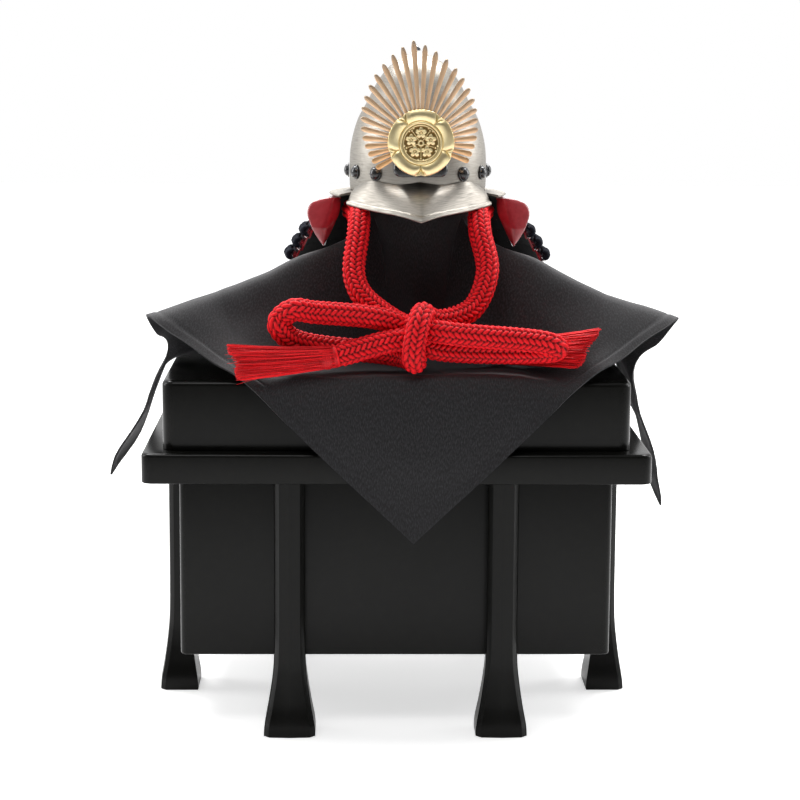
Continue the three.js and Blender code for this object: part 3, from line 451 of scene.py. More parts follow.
f = Finish("bright_gold", (0.90, 0.75, 0.42), 0.33, 1.0)
f.set(anisotropic=0.2)
lines = f.noise(2400, stretch=(0.25, 1, 1), turn=(0, 35, 0), detail=3)
f.rough(lines, 0.14)
f.tint(f.noise(140), (0.96, 0.82, 0.48), 0.4, 0.7)
# painted shade in the disc's recesses, from the per-vertex darkness of the relief
f.tint(f.attribute("recess_shade"), (0.20, 0.115, 0.03), 0.0, 1.0)
f.bump(lines, 0.14, 0.05)
GOLD = f.material

f = Finish("red_lacquer", (0.29, 0.013, 0.02), 0.16)
f.set(coat_weight=0.6, coat_roughness=0.06)
f.rough(f.noise(60, detail=5), 0.08)
f.tint(f.noise(220, detail=6), (0.35, 0.02, 0.028), 0.4, 0.7)
f.bump(f.noise(700, detail=2), 0.05, 0.06)
RED = f.material

# matt near-black for the inward faces of the lames: the plates' black inside, and also painted shade under the
# neck guard
f = Finish("black_inside_and_shade", (0.006, 0.006, 0.006), 0.85)
f.set(specular_ior_level=0.1)
f.tint(f.noise(300, detail=5), (0.009, 0.009, 0.009), 0.45, 0.7)
f.bump(f.noise(1500, detail=3), 0.2, 0.08)
LINING_AND_SHADE = f.material

f = Finish("navy_braid", (0.006, 0.007, 0.013), 0.9, source="UV")
f.set(specular_ior_level=0.25)
plait = f.wave(620, turn=(0, 0, 38), distortion=1.5)
f.tint(plait, (0.014, 0.016, 0.028), 0.3, 0.9)
f.bump(plait, 0.8, 0.35)
f.bump(f.noise(5000, detail=3), 0.3, 0.1)
NAVY = f.material

f = Finish("red_braid", (0.88, 0.0055, 0.0125), 0.55, source="UV")
f.set(specular_ior_level=0.22)
threads = f.noise(3600, stretch=(0.16, 1, 1), turn=(0, 0, 40), detail=3)
f.tint(threads, (0.52, 0.003, 0.008), 0.45, 0.85)
f.tint(f.noise(60, source="Object"), (0.94, 0.009, 0.017), 0.45, 0.7)
# painted shade: the valleys between the stitches are tinted almost black
f.tint(f.attribute("crease_shade"), (0.035, 0.0003, 0.0008), 0.0, 1.0)
f.rough(threads, 0.15)
f.bump(threads, 0.45, 0.16)
BRAID = f.material

f = Finish("red_silk", (0.97, 0.008, 0.015), 0.42)
f.set(specular_ior_level=0.25)
f.tint(f.attribute("shade"), (0.30, 0.0014, 0.004), 0.25, 1.0)
f.tint(f.noise(1500, detail=3), (1.0, 0.02, 0.028), 0.5, 0.75)
f.rough(f.noise(900), 0.15)
f.bump(f.noise(3000, detail=2), 0.15, 0.05)
SILK = f.material

# Cord

CORD_ROUTE = [
    (-42, -128, 275), (-0.3, -121, 285), (14, -118, 283.5), (28, -117, 278.5),
    (106, -125.6, 278.4), (112, -129, 280.5), (106, -132, 284.5), (36, -128, 291),
    (5, -108, 294), (-8, -98, 300), (-25, -88, 313.5), (-30.5, -79, 327),
    (-27.5, -58, 356), (-27, -42, 366), (-31, 4, 368), (-17.5, 34.5, 368),
    (17, 48.5, 368), (51.5, 34.5, 368), (65.5, 4, 368), (61, -42, 366),
    (61, -58, 356), (65.5, -77, 329), (54, -91, 304), (29, -105, 297),
    (20, -110, 301), (17.5, -121, 304), (14.5, -131, 298), (11, -134.5, 277),
    (12, -129, 271.2), (12, -118, 270.4), (5, -108, 271.5), (-8, -104, 273.5),
    (-73, -111, 283.5), (-83.5, -115.2, 294.4), (-82.5, -114.5, 299), (-73.4, -116.2, 305.7),
    (-59.4, -113.5, 304), (-7, -111, 298), (42, -95, 275), (70, -93, 272.5),
]
BRAID_COLUMNS = 10
BRAID_PITCH = 4.2
BRAID_SIDES = 60
BRAID_RINGS = 6
BRAID_LEAN = 0.85
BRAID_RELIEF = 1.9


def braid_height(column, along):
    """Height of the plait from 0 to 1: rows of plump leaning stitches, neighbours half a stitch on."""
    best = np.zeros(np.broadcast(column, along).shape)
    base = np.floor(column)
    for shift in (-1, 0, 1):
        k = base + shift
        lean = np.where(k.astype(int) % 2 == 0, 1.0, -1.0)
        across = column - (k + 0.5)
        sheared = along - 0.5 * (k.astype(int) % 2) - lean * across * BRAID_LEAN
        near = sheared - np.round(sheared)
        dome = 1 - (across / 0.59) ** 2 - (near / 0.52) ** 2
        best = np.maximum(best, np.sqrt(np.clip(dome, 0, None)))
    return best


def chin_cord():
    path, length = even_path(CORD_ROUTE, BRAID_PITCH / BRAID_RINGS)
    rows = len(path)
    columns = np.arange(BRAID_SIDES) / BRAID_SIDES * BRAID_COLUMNS
    along = np.linspace(0, length, rows) / BRAID_PITCH
    column, run = np.meshgrid(columns, along)
    height = braid_height(column, run)
    radius = CORD_DIAMETER / 2 + BRAID_RELIEF * (1.28 * height - 1)
    end = np.minimum(np.arange(rows), np.arange(rows)[::-1])[:, None] / 4
    radius = radius * (0.9 + 0.1 * np.clip(end, 0, 1))
    rings = tube(path, 1.0, BRAID_SIDES, profile=radius[:, :, None])
    vertices, faces, _ = lofted(rings)
    around = np.arange(BRAID_SIDES) / BRAID_SIDES * math.pi * CORD_DIAMETER
    uv = np.stack(np.meshgrid(around, np.linspace(0, length, rows)), -1).reshape(-1, 2) * MM
    # painted shade in the valleys of the plait, strongest where the stitches sit lowest
    crease_shade = np.clip((0.78 - height.reshape(-1)) / 0.5, 0, 1)
    cord = piece("chin_cord_braid", vertices, faces, BRAID, ["chin_cord"], uv,
                 math.pi * CORD_DIAMETER * MM, values={"crease_shade": crease_shade})
    return cord, path, length


THREADS, THREAD_ROOTS = 1150, 7.7
BOUND_LENGTH, BOUND_RADIUS = 7.0, 8.0


def tassel(name, start, direction, low, high, node, strays):
    """Loose silk threads from a bound neck to a flat cut end."""
    start, low, high = (np.array(v, float) for v in (start, low, high))
    axis = unit(np.array(direction, float))
    spread = unit(high - low)
    face = unit(np.cross(axis, spread))
    up = np.cross(face, axis)
    parts = []
    neck = start + axis * BOUND_LENGTH
    middle = (low + high) / 2
    levels = [(0.3, 7.3), (1.2, 7.9), (2.6, 8.0), (4.0, 7.5), (5.2, 7.2), (6.4, 7.6), (8.0, 7.9)]
    angles = np.linspace(0, 2 * np.pi, 32, endpoint=False)
    rings = [start + axis * at + r * (np.cos(angles)[:, None] * up + np.sin(angles)[:, None] * face)
             for at, r in levels]
    half = np.linalg.norm(high - low) / 2
    for t, wide, flat in ((0.35, 0.92, 0.72), (0.6, 0.95, 0.5), (0.8, 1.0, 0.34)):
        centre = neck + (middle - neck) * t
        across = BOUND_RADIUS + (half - BOUND_RADIUS) * t
        rings.append(centre + np.cos(angles)[:, None] * spread * across * wide * 0.86
                     + np.sin(angles)[:, None] * face * BOUND_RADIUS * flat * 0.8)
    parts.append(lofted(rings))
    shades = [0.8] * len(parts[0][0])
    length = np.linalg.norm(middle - neck)
    for i in range(THREADS + strays):
        stray = i >= THREADS
        a = rng.uniform(0, 2 * np.pi)
        r = math.sqrt(rng.uniform(0.2, 1.0)) * THREAD_ROOTS
        root = start + axis * rng.uniform(0.6, 4.0) + up * math.cos(a) * r + face * math.sin(a) * r
        share = 0.5 + 0.5 * (math.cos(a) * r / THREAD_ROOTS) * rng.uniform(0.85, 1.03) + rng.normal(0, 0.02)
        layer = math.sin(a) * r / THREAD_ROOTS
        tip = low + (high - low) * share + face * layer * 4.2 + rng.normal(0, 0.5, 3)
        reach = 1 + rng.normal(0, 0.022) + 0.03 * math.sin(share * 9)
        tip = root + (tip - root) * min(reach, 1.05)
        bow = axis * length * 0.18 + face * layer * 3.0 + rng.normal(0, 0.7, 3)
        if stray:
            bow += rng.normal(0, 5.0, 3) * np.array([1, 0.4, 1])
            tip += rng.normal(0, 5.0, 3) * np.array([1, 0.3, 1.2]) + np.array([0, -1.0, 2.0])
        t = np.linspace(0, 1, 6)[:, None]
        middle_pull = root * 0.5 + tip * 0.5 + bow * 0.5
        path = (1 - t) ** 2 * root + 2 * t * (1 - t) * middle_pull + t ** 2 * tip
        wobble = rng.normal(0, 0.16, path.shape)
        wobble[0] = 0
        parts.append(lofted(tube(path + wobble, 0.12 if stray else rng.uniform(0.24, 0.36), 3)))
        shades.extend([rng.uniform(0, 1)] * len(parts[-1][0]))
    turns = np.linspace(0, 2 * np.pi * 3, 96)
    coil = (start + axis * (0.3 + turns / (2 * np.pi) * 0.5)[:, None]
            + THREAD_ROOTS * (np.cos(turns)[:, None] * up + np.sin(turns)[:, None] * face))
    parts.append(lofted(tube(coil, 0.34, 6)))
    shades.extend([0.4] * len(parts[-1][0]))
    vertices, faces, uv = joined(parts)
    return piece(name, vertices, faces, SILK, [node], uv, values={"shade": shades})


cord, cord_path, cord_length = chin_cord()
left_way = cord_path[0] - cord_path[3]
right_way = cord_path[-1] - cord_path[-4]
left_tassel = tassel("silk_tassel_left", cord_path[0], left_way, (-108, -139, 259), (-116, -133, 283.5),
                     "tassel_left", 9)
right_tassel = tassel("silk_tassel_right", cord_path[-1], right_way, (125, -129, 267), (141, -113, 292.5),
                      "tassel_right", 2)

# Chest


def rounded_ring(width, depth, corner, z, steps=8):
    angles = np.linspace(0, np.pi / 2, steps + 1)
    ring = []
    for quarter, (sx, sy) in enumerate(((1, 1), (-1, 1), (-1, -1), (1, -1))):
        turn = angles + quarter * np.pi / 2
        x = sx * (width / 2 - corner) + corner * np.cos(turn)
        y = sy * (depth / 2 - corner) + corner * np.sin(turn)
        ring.append(np.stack([x, y, np.full_like(x, z)], 1))
    return np.concatenate(ring)


def edge_rings(width, depth, corner, edge, top, rising=True, steps=7):
    """Rings that round an edge: up to the top, or, falling, from the bottom."""
    rings = []
    for turn in np.linspace(0, np.pi / 2, steps):
        inset = edge * (1 - math.cos(turn))
        drop = edge * (1 - math.sin(turn))
        z = top - drop if rising else top + drop
        rings.append(rounded_ring(width - 2 * inset, depth - 2 * inset, corner, z))
    return rings if rising else rings[::-1]


def chest_pieces():
    inner = (CHEST[0] - 2 * CHEST_WALL, CHEST[1] - 2 * CHEST_WALL, CHEST_CORNER / 2)
    top = FLOOR_GAP + CHEST[2]
    rings = [*edge_rings(*CHEST[:2], CHEST_CORNER, 1.5, FLOOR_GAP, rising=False),
             *edge_rings(*CHEST[:2], CHEST_CORNER, 0.4, top),
             rounded_ring(*inner, top), rounded_ring(*inner, FLOOR_GAP + CHEST_WALL)]
    lofted_piece("chest_box", rings, LACQUER, "chest_body", 40)
    base = top + CLEARANCE
    corner = CHEST_CORNER + FLANGE_EDGE
    rings = [*edge_rings(*FLANGE[:2], corner, 1.0, base, rising=False),
             *edge_rings(*FLANGE[:2], corner, FLANGE_EDGE, base + FLANGE[2]),
             rounded_ring(*inner, base + FLANGE[2]), rounded_ring(*inner, base)]
    lofted_piece("flange_frame", rings, LACQUER, "lid_flange", 40, closed=True)
    base = LID_TOP - LID[2]
    inner = (LID[0] - 2 * CHEST_WALL, LID[1] - 2 * CHEST_WALL, CHEST_CORNER / 2)
    corner = CHEST_CORNER + LID_EDGE
    rings = [rounded_ring(*inner, LID_TOP - CHEST_WALL), rounded_ring(*inner, base),
             *edge_rings(*LID[:2], corner, 0.4, base, rising=False),
             *edge_rings(*LID[:2], corner, LID_EDGE, LID_TOP)]
    lofted_piece("lid_cover", rings, LACQUER, "lid_box", 40)


LEG_HALF_WIDTH = 11.0
LEG_REACH = 17.0
LEG_CHAMFER = 5.0
LEG_BULGE = 1.2
LEG_SHARES = [(0, 1.68, 1.42, 0.35), (0.03, 1.66, 1.4, 0.34), (0.12, 1.4, 1.24, 0.2), (0.22, 1.15, 1.1, 0.06),
              (0.29, 1.04, 1.03, -0.0176), (0.4, 1, 1, -0.0176), (1, 1, 1, -0.0176)]
LEG_PLACES = {"front_left": (-76, -115, 0), "front_right": (76, -115, 0), "side_right": (155, 0, 90),
              "back_right": (76, 115, 180), "back_left": (-76, 115, 180), "side_left": (-155, 0, 270)}


def leg_section(half, out, back):
    """The outline of a leg: flat back, chamfered front corners and a faint ridge."""
    chamfer = LEG_CHAMFER
    cut = chamfer * 0.7 - half
    ring = [(-half, back), (-half, chamfer - out - 0.4), (-half + 0.15, chamfer - out),
            (-half + 0.5, chamfer - out - 0.5), (cut - 0.45, LEG_BULGE - out + 0.5), (cut, LEG_BULGE - out),
            (cut + 0.7, LEG_BULGE - out - 0.12), (-0.6, -out + 0.12), (0, -out)]
    ring += [(-x, y) for x, y in ring[-2::-1]]
    return ring


def legs():
    top = FLOOR_GAP + CHEST[2]
    table = np.array(LEG_SHARES)
    curves = [smooth_table(np.stack([table[:, 0], table[:, k]], 1)) for k in (1, 2, 3)]
    levels = np.concatenate([[0, 0.003], np.linspace(0.012, 0.45, 34), [0.7, 1.0]])
    for name, (x, y, turn) in LEG_PLACES.items():
        rings = []
        for share in levels:
            half, out, back = (float(curve(share)) for curve in curves)
            inset = 0.5 if share == 0 else 0.0
            ring = np.array(leg_section(half * LEG_HALF_WIDTH - inset, out * LEG_REACH - inset,
                                        max(back * LEG_REACH, -CLEARANCE) - inset * (share == 0)))
            c, s = math.cos(turn * DEG), math.sin(turn * DEG)
            px = ring[:, 0] * c - ring[:, 1] * s + x
            py = ring[:, 0] * s + ring[:, 1] * c + y
            rings.append(np.stack([px, py, np.full_like(px, share * top)], 1))
        lofted_piece(f"turned_leg_{name}", rings, LACQUER, f"leg_{name}", 28)


chest_pieces()
legs()

# Bowl

bowl_profile = smooth_table([(0, 1), (0.133, 1.008), (0.314, 0.99), (0.495, 0.897), (0.638, 0.745),
                             (0.781, 0.595), (0.89, 0.419), (0.962, 0.2), (1, 0.02)])


def bowl_radius(height, inset=0.0):
    height = np.asarray(height, float)
    if inset == 0:
        return BOWL_HALF_WIDTH * bowl_profile(height / BOWL_HEIGHT)
    radius = np.full(height.shape, 1e9)
    for step in range(-20, 21):
        shift = inset * step / 20
        level = np.clip(height + shift, 0, BOWL_HEIGHT)
        room = math.sqrt(max(inset * inset - shift * shift, 0))
        radius = np.minimum(radius, BOWL_HALF_WIDTH * bowl_profile(level / BOWL_HEIGHT) - room)
    return np.maximum(radius, 0)


def bowl_point(turn, height, inset=0.0, raised=0.0):
    turn, height = np.broadcast_arrays(np.asarray(turn, float), np.asarray(height, float))
    across = bowl_radius(height, inset)
    part = np.abs(np.fmod(turn, 180))
    nearest = np.minimum(part, 180 - part)
    keel = 0 if inset > 0 else KEEL_HEIGHT * np.exp(-((nearest / KEEL_SPREAD) ** 2))
    along = np.maximum((across + inset) * BOWL_HALF_LENGTH / BOWL_HALF_WIDTH - inset, 0)
    fade = np.minimum(across / BOWL_HALF_WIDTH * 1.5, 1)
    x = (across + raised) * np.sin(turn * DEG)
    y = -(along + raised + keel * fade) * np.cos(turn * DEG)
    return np.stack([x, y, height], -1)


def bowl_normal(turn, height):
    around = bowl_point(turn + 1, height) - bowl_point(turn - 1, height)
    rising = bowl_point(turn, height + 1) - bowl_point(turn, height - 1)
    return unit(np.cross(around, rising))


def bowl():
    even = np.linspace(0, 2 * np.pi, 200, endpoint=False)
    turns = (even - 0.36 * np.sin(2 * even)) / DEG
    share = np.linspace(0, 1, 64)
    heights = BOWL_HEIGHT * (1 - (1 - share) ** 1.45)
    outer = bowl_point(turns[None], heights[:, None])
    inner = bowl_point(turns[None], np.minimum(heights, BOWL_HEIGHT * 0.965)[:, None], BOWL_WALL)
    outer[:, :, :2] *= (1 - 0.006 * np.exp(-heights / 0.5))[:, None, None]
    vertices, faces = shell(outer + HELMET, inner + HELMET, wrap=True)
    around = turns / 360 * 2 * np.pi * BOWL_HALF_WIDTH
    uv = np.stack(np.meshgrid(around, heights), -1).reshape(-1, 2) * MM
    piece("bowl_skin", vertices, faces, STEEL, ["bowl"], np.vstack([uv, uv]),
          2 * np.pi * BOWL_HALF_WIDTH * MM, sharp=50)


def apex_stalk():
    t = np.linspace(0, 1, 12)
    path = np.stack([-1.6 * t ** 2, 3.4 * t ** 2, BOWL_HEIGHT + CLEARANCE + 3.2 * t], 1) + HELMET
    rings = tube(path, 1.4 * (1.15 - 0.65 * t), 16, first=(0, 1, 0))
    lofted_piece("apex_finial", rings, BLACK, "apex_stalk", 60)


BRIM_REACH, BRIM_DROP, BRIM_WALL = 15.5, 1.8, 1.6
VISOR_SIDE_TURN = 58.4


def brim():
    turns = np.linspace(VISOR_SIDE_TURN, 360 - VISOR_SIDE_TURN, 150)
    angle = np.arctan2(np.sin(turns * DEG) / BOWL_HALF_WIDTH, np.cos(turns * DEG) / BOWL_HALF_LENGTH)
    reach = np.linspace(-BOWL_WALL, BRIM_REACH - 0.9, 12)
    droop = BRIM_DROP * (np.clip(reach, 0, None) / BRIM_REACH) ** 1.6
    tip = [(BRIM_REACH - 0.9 + 0.9 * math.sin(a), -BRIM_DROP - BRIM_WALL / 2 + BRIM_WALL / 2 * math.cos(a))
           for a in np.linspace(0.3, math.pi - 0.3, 7)]
    ring = list(zip(reach, -droop)) + tip + list(zip(reach[::-1], -droop[::-1] - BRIM_WALL))
    ring = np.array(ring)
    x = (BOWL_HALF_WIDTH + ring[None, :, 0]) * np.sin(angle)[:, None]
    y = -(BOWL_HALF_LENGTH + ring[None, :, 0]) * np.cos(angle)[:, None]
    z = np.broadcast_to(ring[None, :, 1] - CLEARANCE, x.shape)
    lofted_piece("brim_ledge", np.stack([x, y, z], -1) + HELMET, STEEL, "brim", 50)


VISOR_TOP_HALF, VISOR_HALF_WIDTH, VISOR_TIP, VISOR_CORNER_BACK = 44.6, 51.8, 92.0, 35.0
VISOR_HIGH_RISE, VISOR_LOW_DROP, VISOR_SWEEP = 7.8, 17.5, 1.18
visor_top_share = smooth_table([(0, 0.96), (0.38, 0.69), (0.74, 1), (0.88, 0.74), (1, 0.26)])
visor_low_share = smooth_table([(0, 1), (0.2, 0.84), (0.35, 0.76), (0.62, 0.657), (0.85, 0.56), (1, 0.486)])


def visor():
    shares = np.linspace(-1, 1, 121)
    side = np.abs(shares)
    turn = np.arcsin(VISOR_TOP_HALF * shares / BOWL_HALF_WIDTH) / DEG
    top = bowl_point(turn, VISOR_HIGH_RISE * visor_top_share(side), 0, CLEARANCE * 1.5)
    ahead = VISOR_TIP + (VISOR_CORNER_BACK - VISOR_TIP) * side ** VISOR_SWEEP
    low = np.stack([VISOR_HALF_WIDTH * shares, -ahead, -VISOR_LOW_DROP * visor_low_share(side)], 1)
    downs = np.concatenate([np.linspace(0, 0.84, 18), np.linspace(0.86, 1, 14)])
    under = top[None] + (low - top)[None] * downs[:, None, None]
    under[:, :, 2] += (2 * np.sin(np.pi * downs) - 0.5 * downs)[:, None]
    normals = -grid_normals(under)
    normals *= np.sign(normals[:, :, 2:])
    wall = 1.6 + 0.7 * smoothstep(0.9, 0.93, downs)
    upper = under + normals * wall[:, None, None]
    ahead_of = unit(under[-1] - under[-3])
    lip = []
    for a in np.linspace(0, np.pi, 9)[1:-1]:
        centre = (under[-1] + upper[-1]) / 2
        half = (upper[-1] - under[-1]) / 2
        lip.append(centre - half * math.cos(a) + ahead_of * 1.3 * math.sin(a))
    rows = np.concatenate([under, np.array(lip), upper[::-1]])
    sections = rows.transpose(1, 0, 2) + HELMET
    lofted_piece("visor_plate", sections, STEEL, "visor", 50)


def rivets():
    profile = [(0, 0), (5.1, 0), (5.35, 0.2), (5.35, 0.6), (5.15, 0.8), (4.5, 0.82), (4.4, 0.95)]
    profile += [(4.4 * math.cos(a), 0.95 + 2.85 * math.sin(a)) for a in np.linspace(0.12, np.pi / 2, 10)]
    angles = np.linspace(0, 2 * np.pi, 28, endpoint=False)
    number = 0
    for row in range(1, 7):
        for side in (-1, 1):
            number += 1
            turn = side * (row + 0.5) * 25.7
            away = bowl_normal(turn, 14.0)
            place = bowl_point(turn, 14.0) + away * CLEARANCE + HELMET
            across = unit(np.cross(away, (0, 0, 1)))
            up = np.cross(across, away)
            rings = [place + away * z + max(r, 0.02) * (np.cos(angles)[:, None] * across
                                                       + np.sin(angles)[:, None] * up) for r, z in profile]
            lofted_piece(f"domed_rivet_{number}", rings, BLACK, f"rivet_{number}", 50)


bowl()
apex_stalk()
brim()
visor()
rivets()

# Crest

CREST_FRONT = 71.2
DISC_RISE = 37.5
DISC_RADIUS = 24.0
RAYS_EACH_SIDE, RAY_STEP, RAY_CLOSER, RAY_TILT, RAY_ROOT = 14, 8.7, 6.5, -4.6, 21.5
RAY_SHORTEST, RAY_LONGEST = 36.5, 73.0
RAY_HALF_ROOT, RAY_HALF_TIP, RAY_TAPER_START = 1.15, 1.95, 0.86
RAY_SECTION = [(-1, 0.12), (-0.88, 0), (0.88, 0), (1, 0.12), (1, 0.62), (0.7, 0.85), (0, 1.0),
               (-0.7, 0.85), (-1, 0.62)]


def crest_base():
    half, rise, height = 19.5, 13.0, 9.5
    mid = rise + height / 2
    turns = np.degrees(np.arcsin(np.linspace(-1, 1, 21) * half / float(bowl_radius(mid))))
    back = bowl_point(turns, mid, 0, CLEARANCE * 1.5)[:, :2]
    corner = 3.0
    arc = np.linspace(0, np.pi / 2, 7)
    right = np.stack([half - corner + corner * np.cos(arc), -CREST_FRONT + corner - corner * np.sin(arc)], 1)
    front = np.concatenate([right, (right * [-1, 1])[::-1]])
    outline = np.concatenate([back, front])
    centre = outline.mean(0)
    rings = []
    lower = 4.5
    for z, inset in ((0, 0.8), (0.25, 0.3), (0.9, 0), (2, 0), (3.2, 0), (lower, 0), (height - 0.9, 0),
                     (height - 0.25, 0.35), (height, 1.0)):
        shrunk = outline + unit(centre - outline) * inset
        rounding = lower - math.sqrt(max(lower ** 2 - max(lower - z, 0) ** 2, 0))
        shrunk = shrunk * [1 - rounding / half, 1]
        rings.append(np.column_stack([shrunk, np.full(len(shrunk), rise + z)]))
    vertices, faces, uv = lofted(np.array(rings) + HELMET)
    piece("crest_socket", vertices, faces, BLACK, ["crest_base"], uv, sharp=40)


def crest_rays():
    parts, tips, lows = [], [], []
    back = -CREST_FRONT - CLEARANCE
    for i in range(-RAYS_EACH_SIDE, RAYS_EACH_SIDE + 1):
        away = abs(i) * RAY_STEP - RAY_CLOSER * (1 - math.exp(-abs(i) / 2.6))
        length = RAY_SHORTEST + (RAY_LONGEST - RAY_SHORTEST) * (1 - away / 125) ** 1.8
        turn = math.copysign(away, i) + RAY_TILT
        taper = 1 - RAY_TAPER_START
        s = np.concatenate([np.linspace(0, RAY_TAPER_START, 10),
                            RAY_TAPER_START + taper * np.sin(np.linspace(0.12, 1, 8) * np.pi / 2)])
        along = RAY_ROOT - 1 + (length - RAY_ROOT + 1) * s
        shaft = RAY_HALF_ROOT + (RAY_HALF_TIP - RAY_HALF_ROOT) * s / RAY_TAPER_START
        point = RAY_HALF_TIP * np.sqrt(np.clip(1 - ((s - RAY_TAPER_START) / taper) ** 2, 0, 1))
        half = np.maximum(np.where(s < RAY_TAPER_START, shaft, point), 0.05)
        bend = 0.5 * math.sin(i * 2.1) * s ** 2
        angle = turn * DEG
        out = np.array([math.sin(angle), 0, math.cos(angle)])
        across = np.array([math.cos(angle), 0, -math.sin(angle)])
        front = np.array([0, -1.0, 0])
        rings = []
        for a, h, b in zip(along, half, bend):
            rings.append([out * a + across * h * x + front * (y * (0.5 + 0.5 * min(h, 1)))
                          + across * b * 0.3 for x, y in RAY_SECTION])
        rings = np.array(rings) + HELMET + np.array([0, back, DISC_RISE])
        v, f, uv = lofted(rings)
        parts.append((v, f, uv))
        tips.extend(np.repeat(np.clip((s - 0.9) / 0.08, 0, 1) * 0.75, len(RAY_SECTION)))
        lows.extend([float(np.clip((abs(turn) - 70) / 50, 0, 1)) * 0.8] * len(v))
    angles = np.linspace(0, 2 * np.pi, 72, endpoint=False)
    hub = []
    for r, y in ((0.1, 0.05), (21.0, 0.05), (21.5, 0.25), (21.5, 0.75), (21.0, 0.95), (0.1, 0.95)):
        hub.append(np.stack([r * np.sin(angles), np.full_like(angles, back - y),
                             r * np.cos(angles) + DISC_RISE], 1))
    v, f, uv = lofted(np.array(hub) + HELMET)
    parts.append((v, f, uv))
    tips.extend([0.0] * len(v))
    lows.extend([0.0] * len(v))
    vertices, faces, uv = joined(parts)
    piece("crest_ray_fan", vertices, faces, COPPER, ["crest_rays"], uv, sharp=35,
          values={"tip": tips, "low": lows})


def petal(px, pz, cx, cz, radius, petals, twist):
    """Height of a small round blossom with petals and a sunk eye."""
    dx, dz = px - cx, pz - cz
    r = np.hypot(dx, dz)
    angle = np.arctan2(dx, dz) - twist
    edge = radius * (0.60 + 0.40 * np.abs(np.cos(angle * petals / 2)) ** 0.8)
    body = np.sqrt(np.clip(1 - (r / edge) ** 2, 0, 1))
    vein = 0.25 * np.exp(-((np.abs(np.sin(angle * petals / 2)) * r / 0.4) ** 2))
    eye = 0.75 * np.exp(-((r - radius * 0.22) / (radius * 0.13)) ** 2)
    return np.clip(body - vein * (r < edge) - eye, 0, 1)


def crest_disc():
    turns = np.linspace(0, 360, 360, endpoint=False)
    shares = np.concatenate([np.linspace(0.004, 0.66, 62), np.linspace(0.67, 0.96, 26),
                             np.linspace(0.968, 1, 7)])
    turn, share = np.meshgrid(turns, shares)
    nearest = np.abs(np.mod(turn, 72) - 36)
    notch = 1 - 0.04 * np.clip(1 - nearest / 9, 0, 1) * share ** 3
    radius = DISC_RADIUS * share * notch
    x, z = radius * np.sin(turn * DEG), radius * np.cos(turn * DEG)
    lobe = np.sin(np.pi * np.clip((share - 0.625) / 0.40, 0, 1)) ** 0.7
    valley = 0.5 + 8.5 * smoothstep(0.72, 1.02, share) ** 1.5
    ends = np.sqrt(1 - (1 - np.clip((nearest - valley) / 13, 0, 1)) ** 2)
    height = np.where(share > 0.66, 0.15 + 1.9 * lobe * ends, 0.18)
    filler = np.clip(1 - nearest / (0.78 * valley), 0, 1) * smoothstep(0.76, 0.82, share)
    height = np.maximum(height, np.where(share > 0.66, 0.2 + 1.1 * filler ** 0.5, 0))
    ring = np.sqrt(np.clip(1 - ((share - 0.61) / 0.045) ** 2, 0, 1))
    height = np.maximum(height, np.where(share <= 0.68, 0.2 + 1.0 * ring, 0))
    fine = np.sqrt(np.clip(1 - ((share - 0.525) / 0.018) ** 2, 0, 1))
    height = np.maximum(height, np.where(share <= 0.56, 0.2 + 0.5 * fine, 0))
    recess_shade = np.where(share < 0.56, 1.0, 0.0)
    for k in range(5):
        a = k * 72 * DEG
        cx, cz = DISC_RADIUS * 0.305 * math.sin(a), DISC_RADIUS * 0.305 * math.cos(a)
        flower = petal(x, z, cx, cz, 4.3, 5, a)
        height = np.maximum(height, 0.2 + 1.15 * flower * (share < 0.56))
        b = a + 36 * DEG
        for r, c in ((0.455, 0), (0.50, 9), (0.50, -9)):
            dx = x - DISC_RADIUS * r * math.sin(b + c * DEG)
            dz = z - DISC_RADIUS * r * math.cos(b + c * DEG)
            dot = np.sqrt(np.clip(1 - (dx * dx + dz * dz) / 0.75 ** 2, 0, 1))
            height = np.maximum(height, 0.2 + 0.75 * dot)
        sx, sz = math.sin(b), math.cos(b)
        off = np.abs(x * sz - z * sx)
        along = x * sx + z * sz
        stem = np.clip(1 - off / 0.42, 0, 1) * ((along > 2) & (along < DISC_RADIUS * 0.42))
        height = np.maximum(height, 0.2 + 0.6 * stem ** 0.5)
    r = np.hypot(x, z)
    height = np.maximum(height, 0.2 + 1.1 * np.sqrt(np.clip(1 - ((r - 1.7) / 0.75) ** 2, 0, 1)))
    edge = np.clip((1 - share) / 0.03, 0, 1)
    height *= np.sqrt(np.clip(1 - (1 - edge) ** 2, 0, 1)) * 0.75 + 0.25
    # painted shade: the sunk field darkens most where the relief is lowest, and the channels between the outer
    # lobes a little
    painted_shade = np.clip(recess_shade * (1 - (height - 0.2) / 0.55), 0, 1) * 0.95
    groove_shade = np.clip(1 - (height - 0.3) / 0.35, 0, 1) * (share > 0.68) * (share < 0.95) * 0.35
    y = -(1.35 + height)
    front = np.stack([x, y, z], -1)
    rim_back = np.stack([x[-1], np.zeros(360), z[-1]], -1)
    centre_back = np.stack([x[0], np.zeros(360), z[0]], -1)
    rings = np.concatenate([front, rim_back[None], centre_back[None]])
    place = HELMET + np.array([0, -(CREST_FRONT + 2 * CLEARANCE + 1.0), DISC_RISE])
    vertices, faces, uv = lofted(rings + place)
    painted_shade = np.concatenate([(painted_shade + groove_shade).ravel(), np.zeros(720)])
    piece("crest_medallion", vertices, faces, GOLD, ["crest_disc"], uv, sharp=60,
          values={"recess_shade": painted_shade})


crest_base()
crest_rays()
crest_disc()

# Neck guard

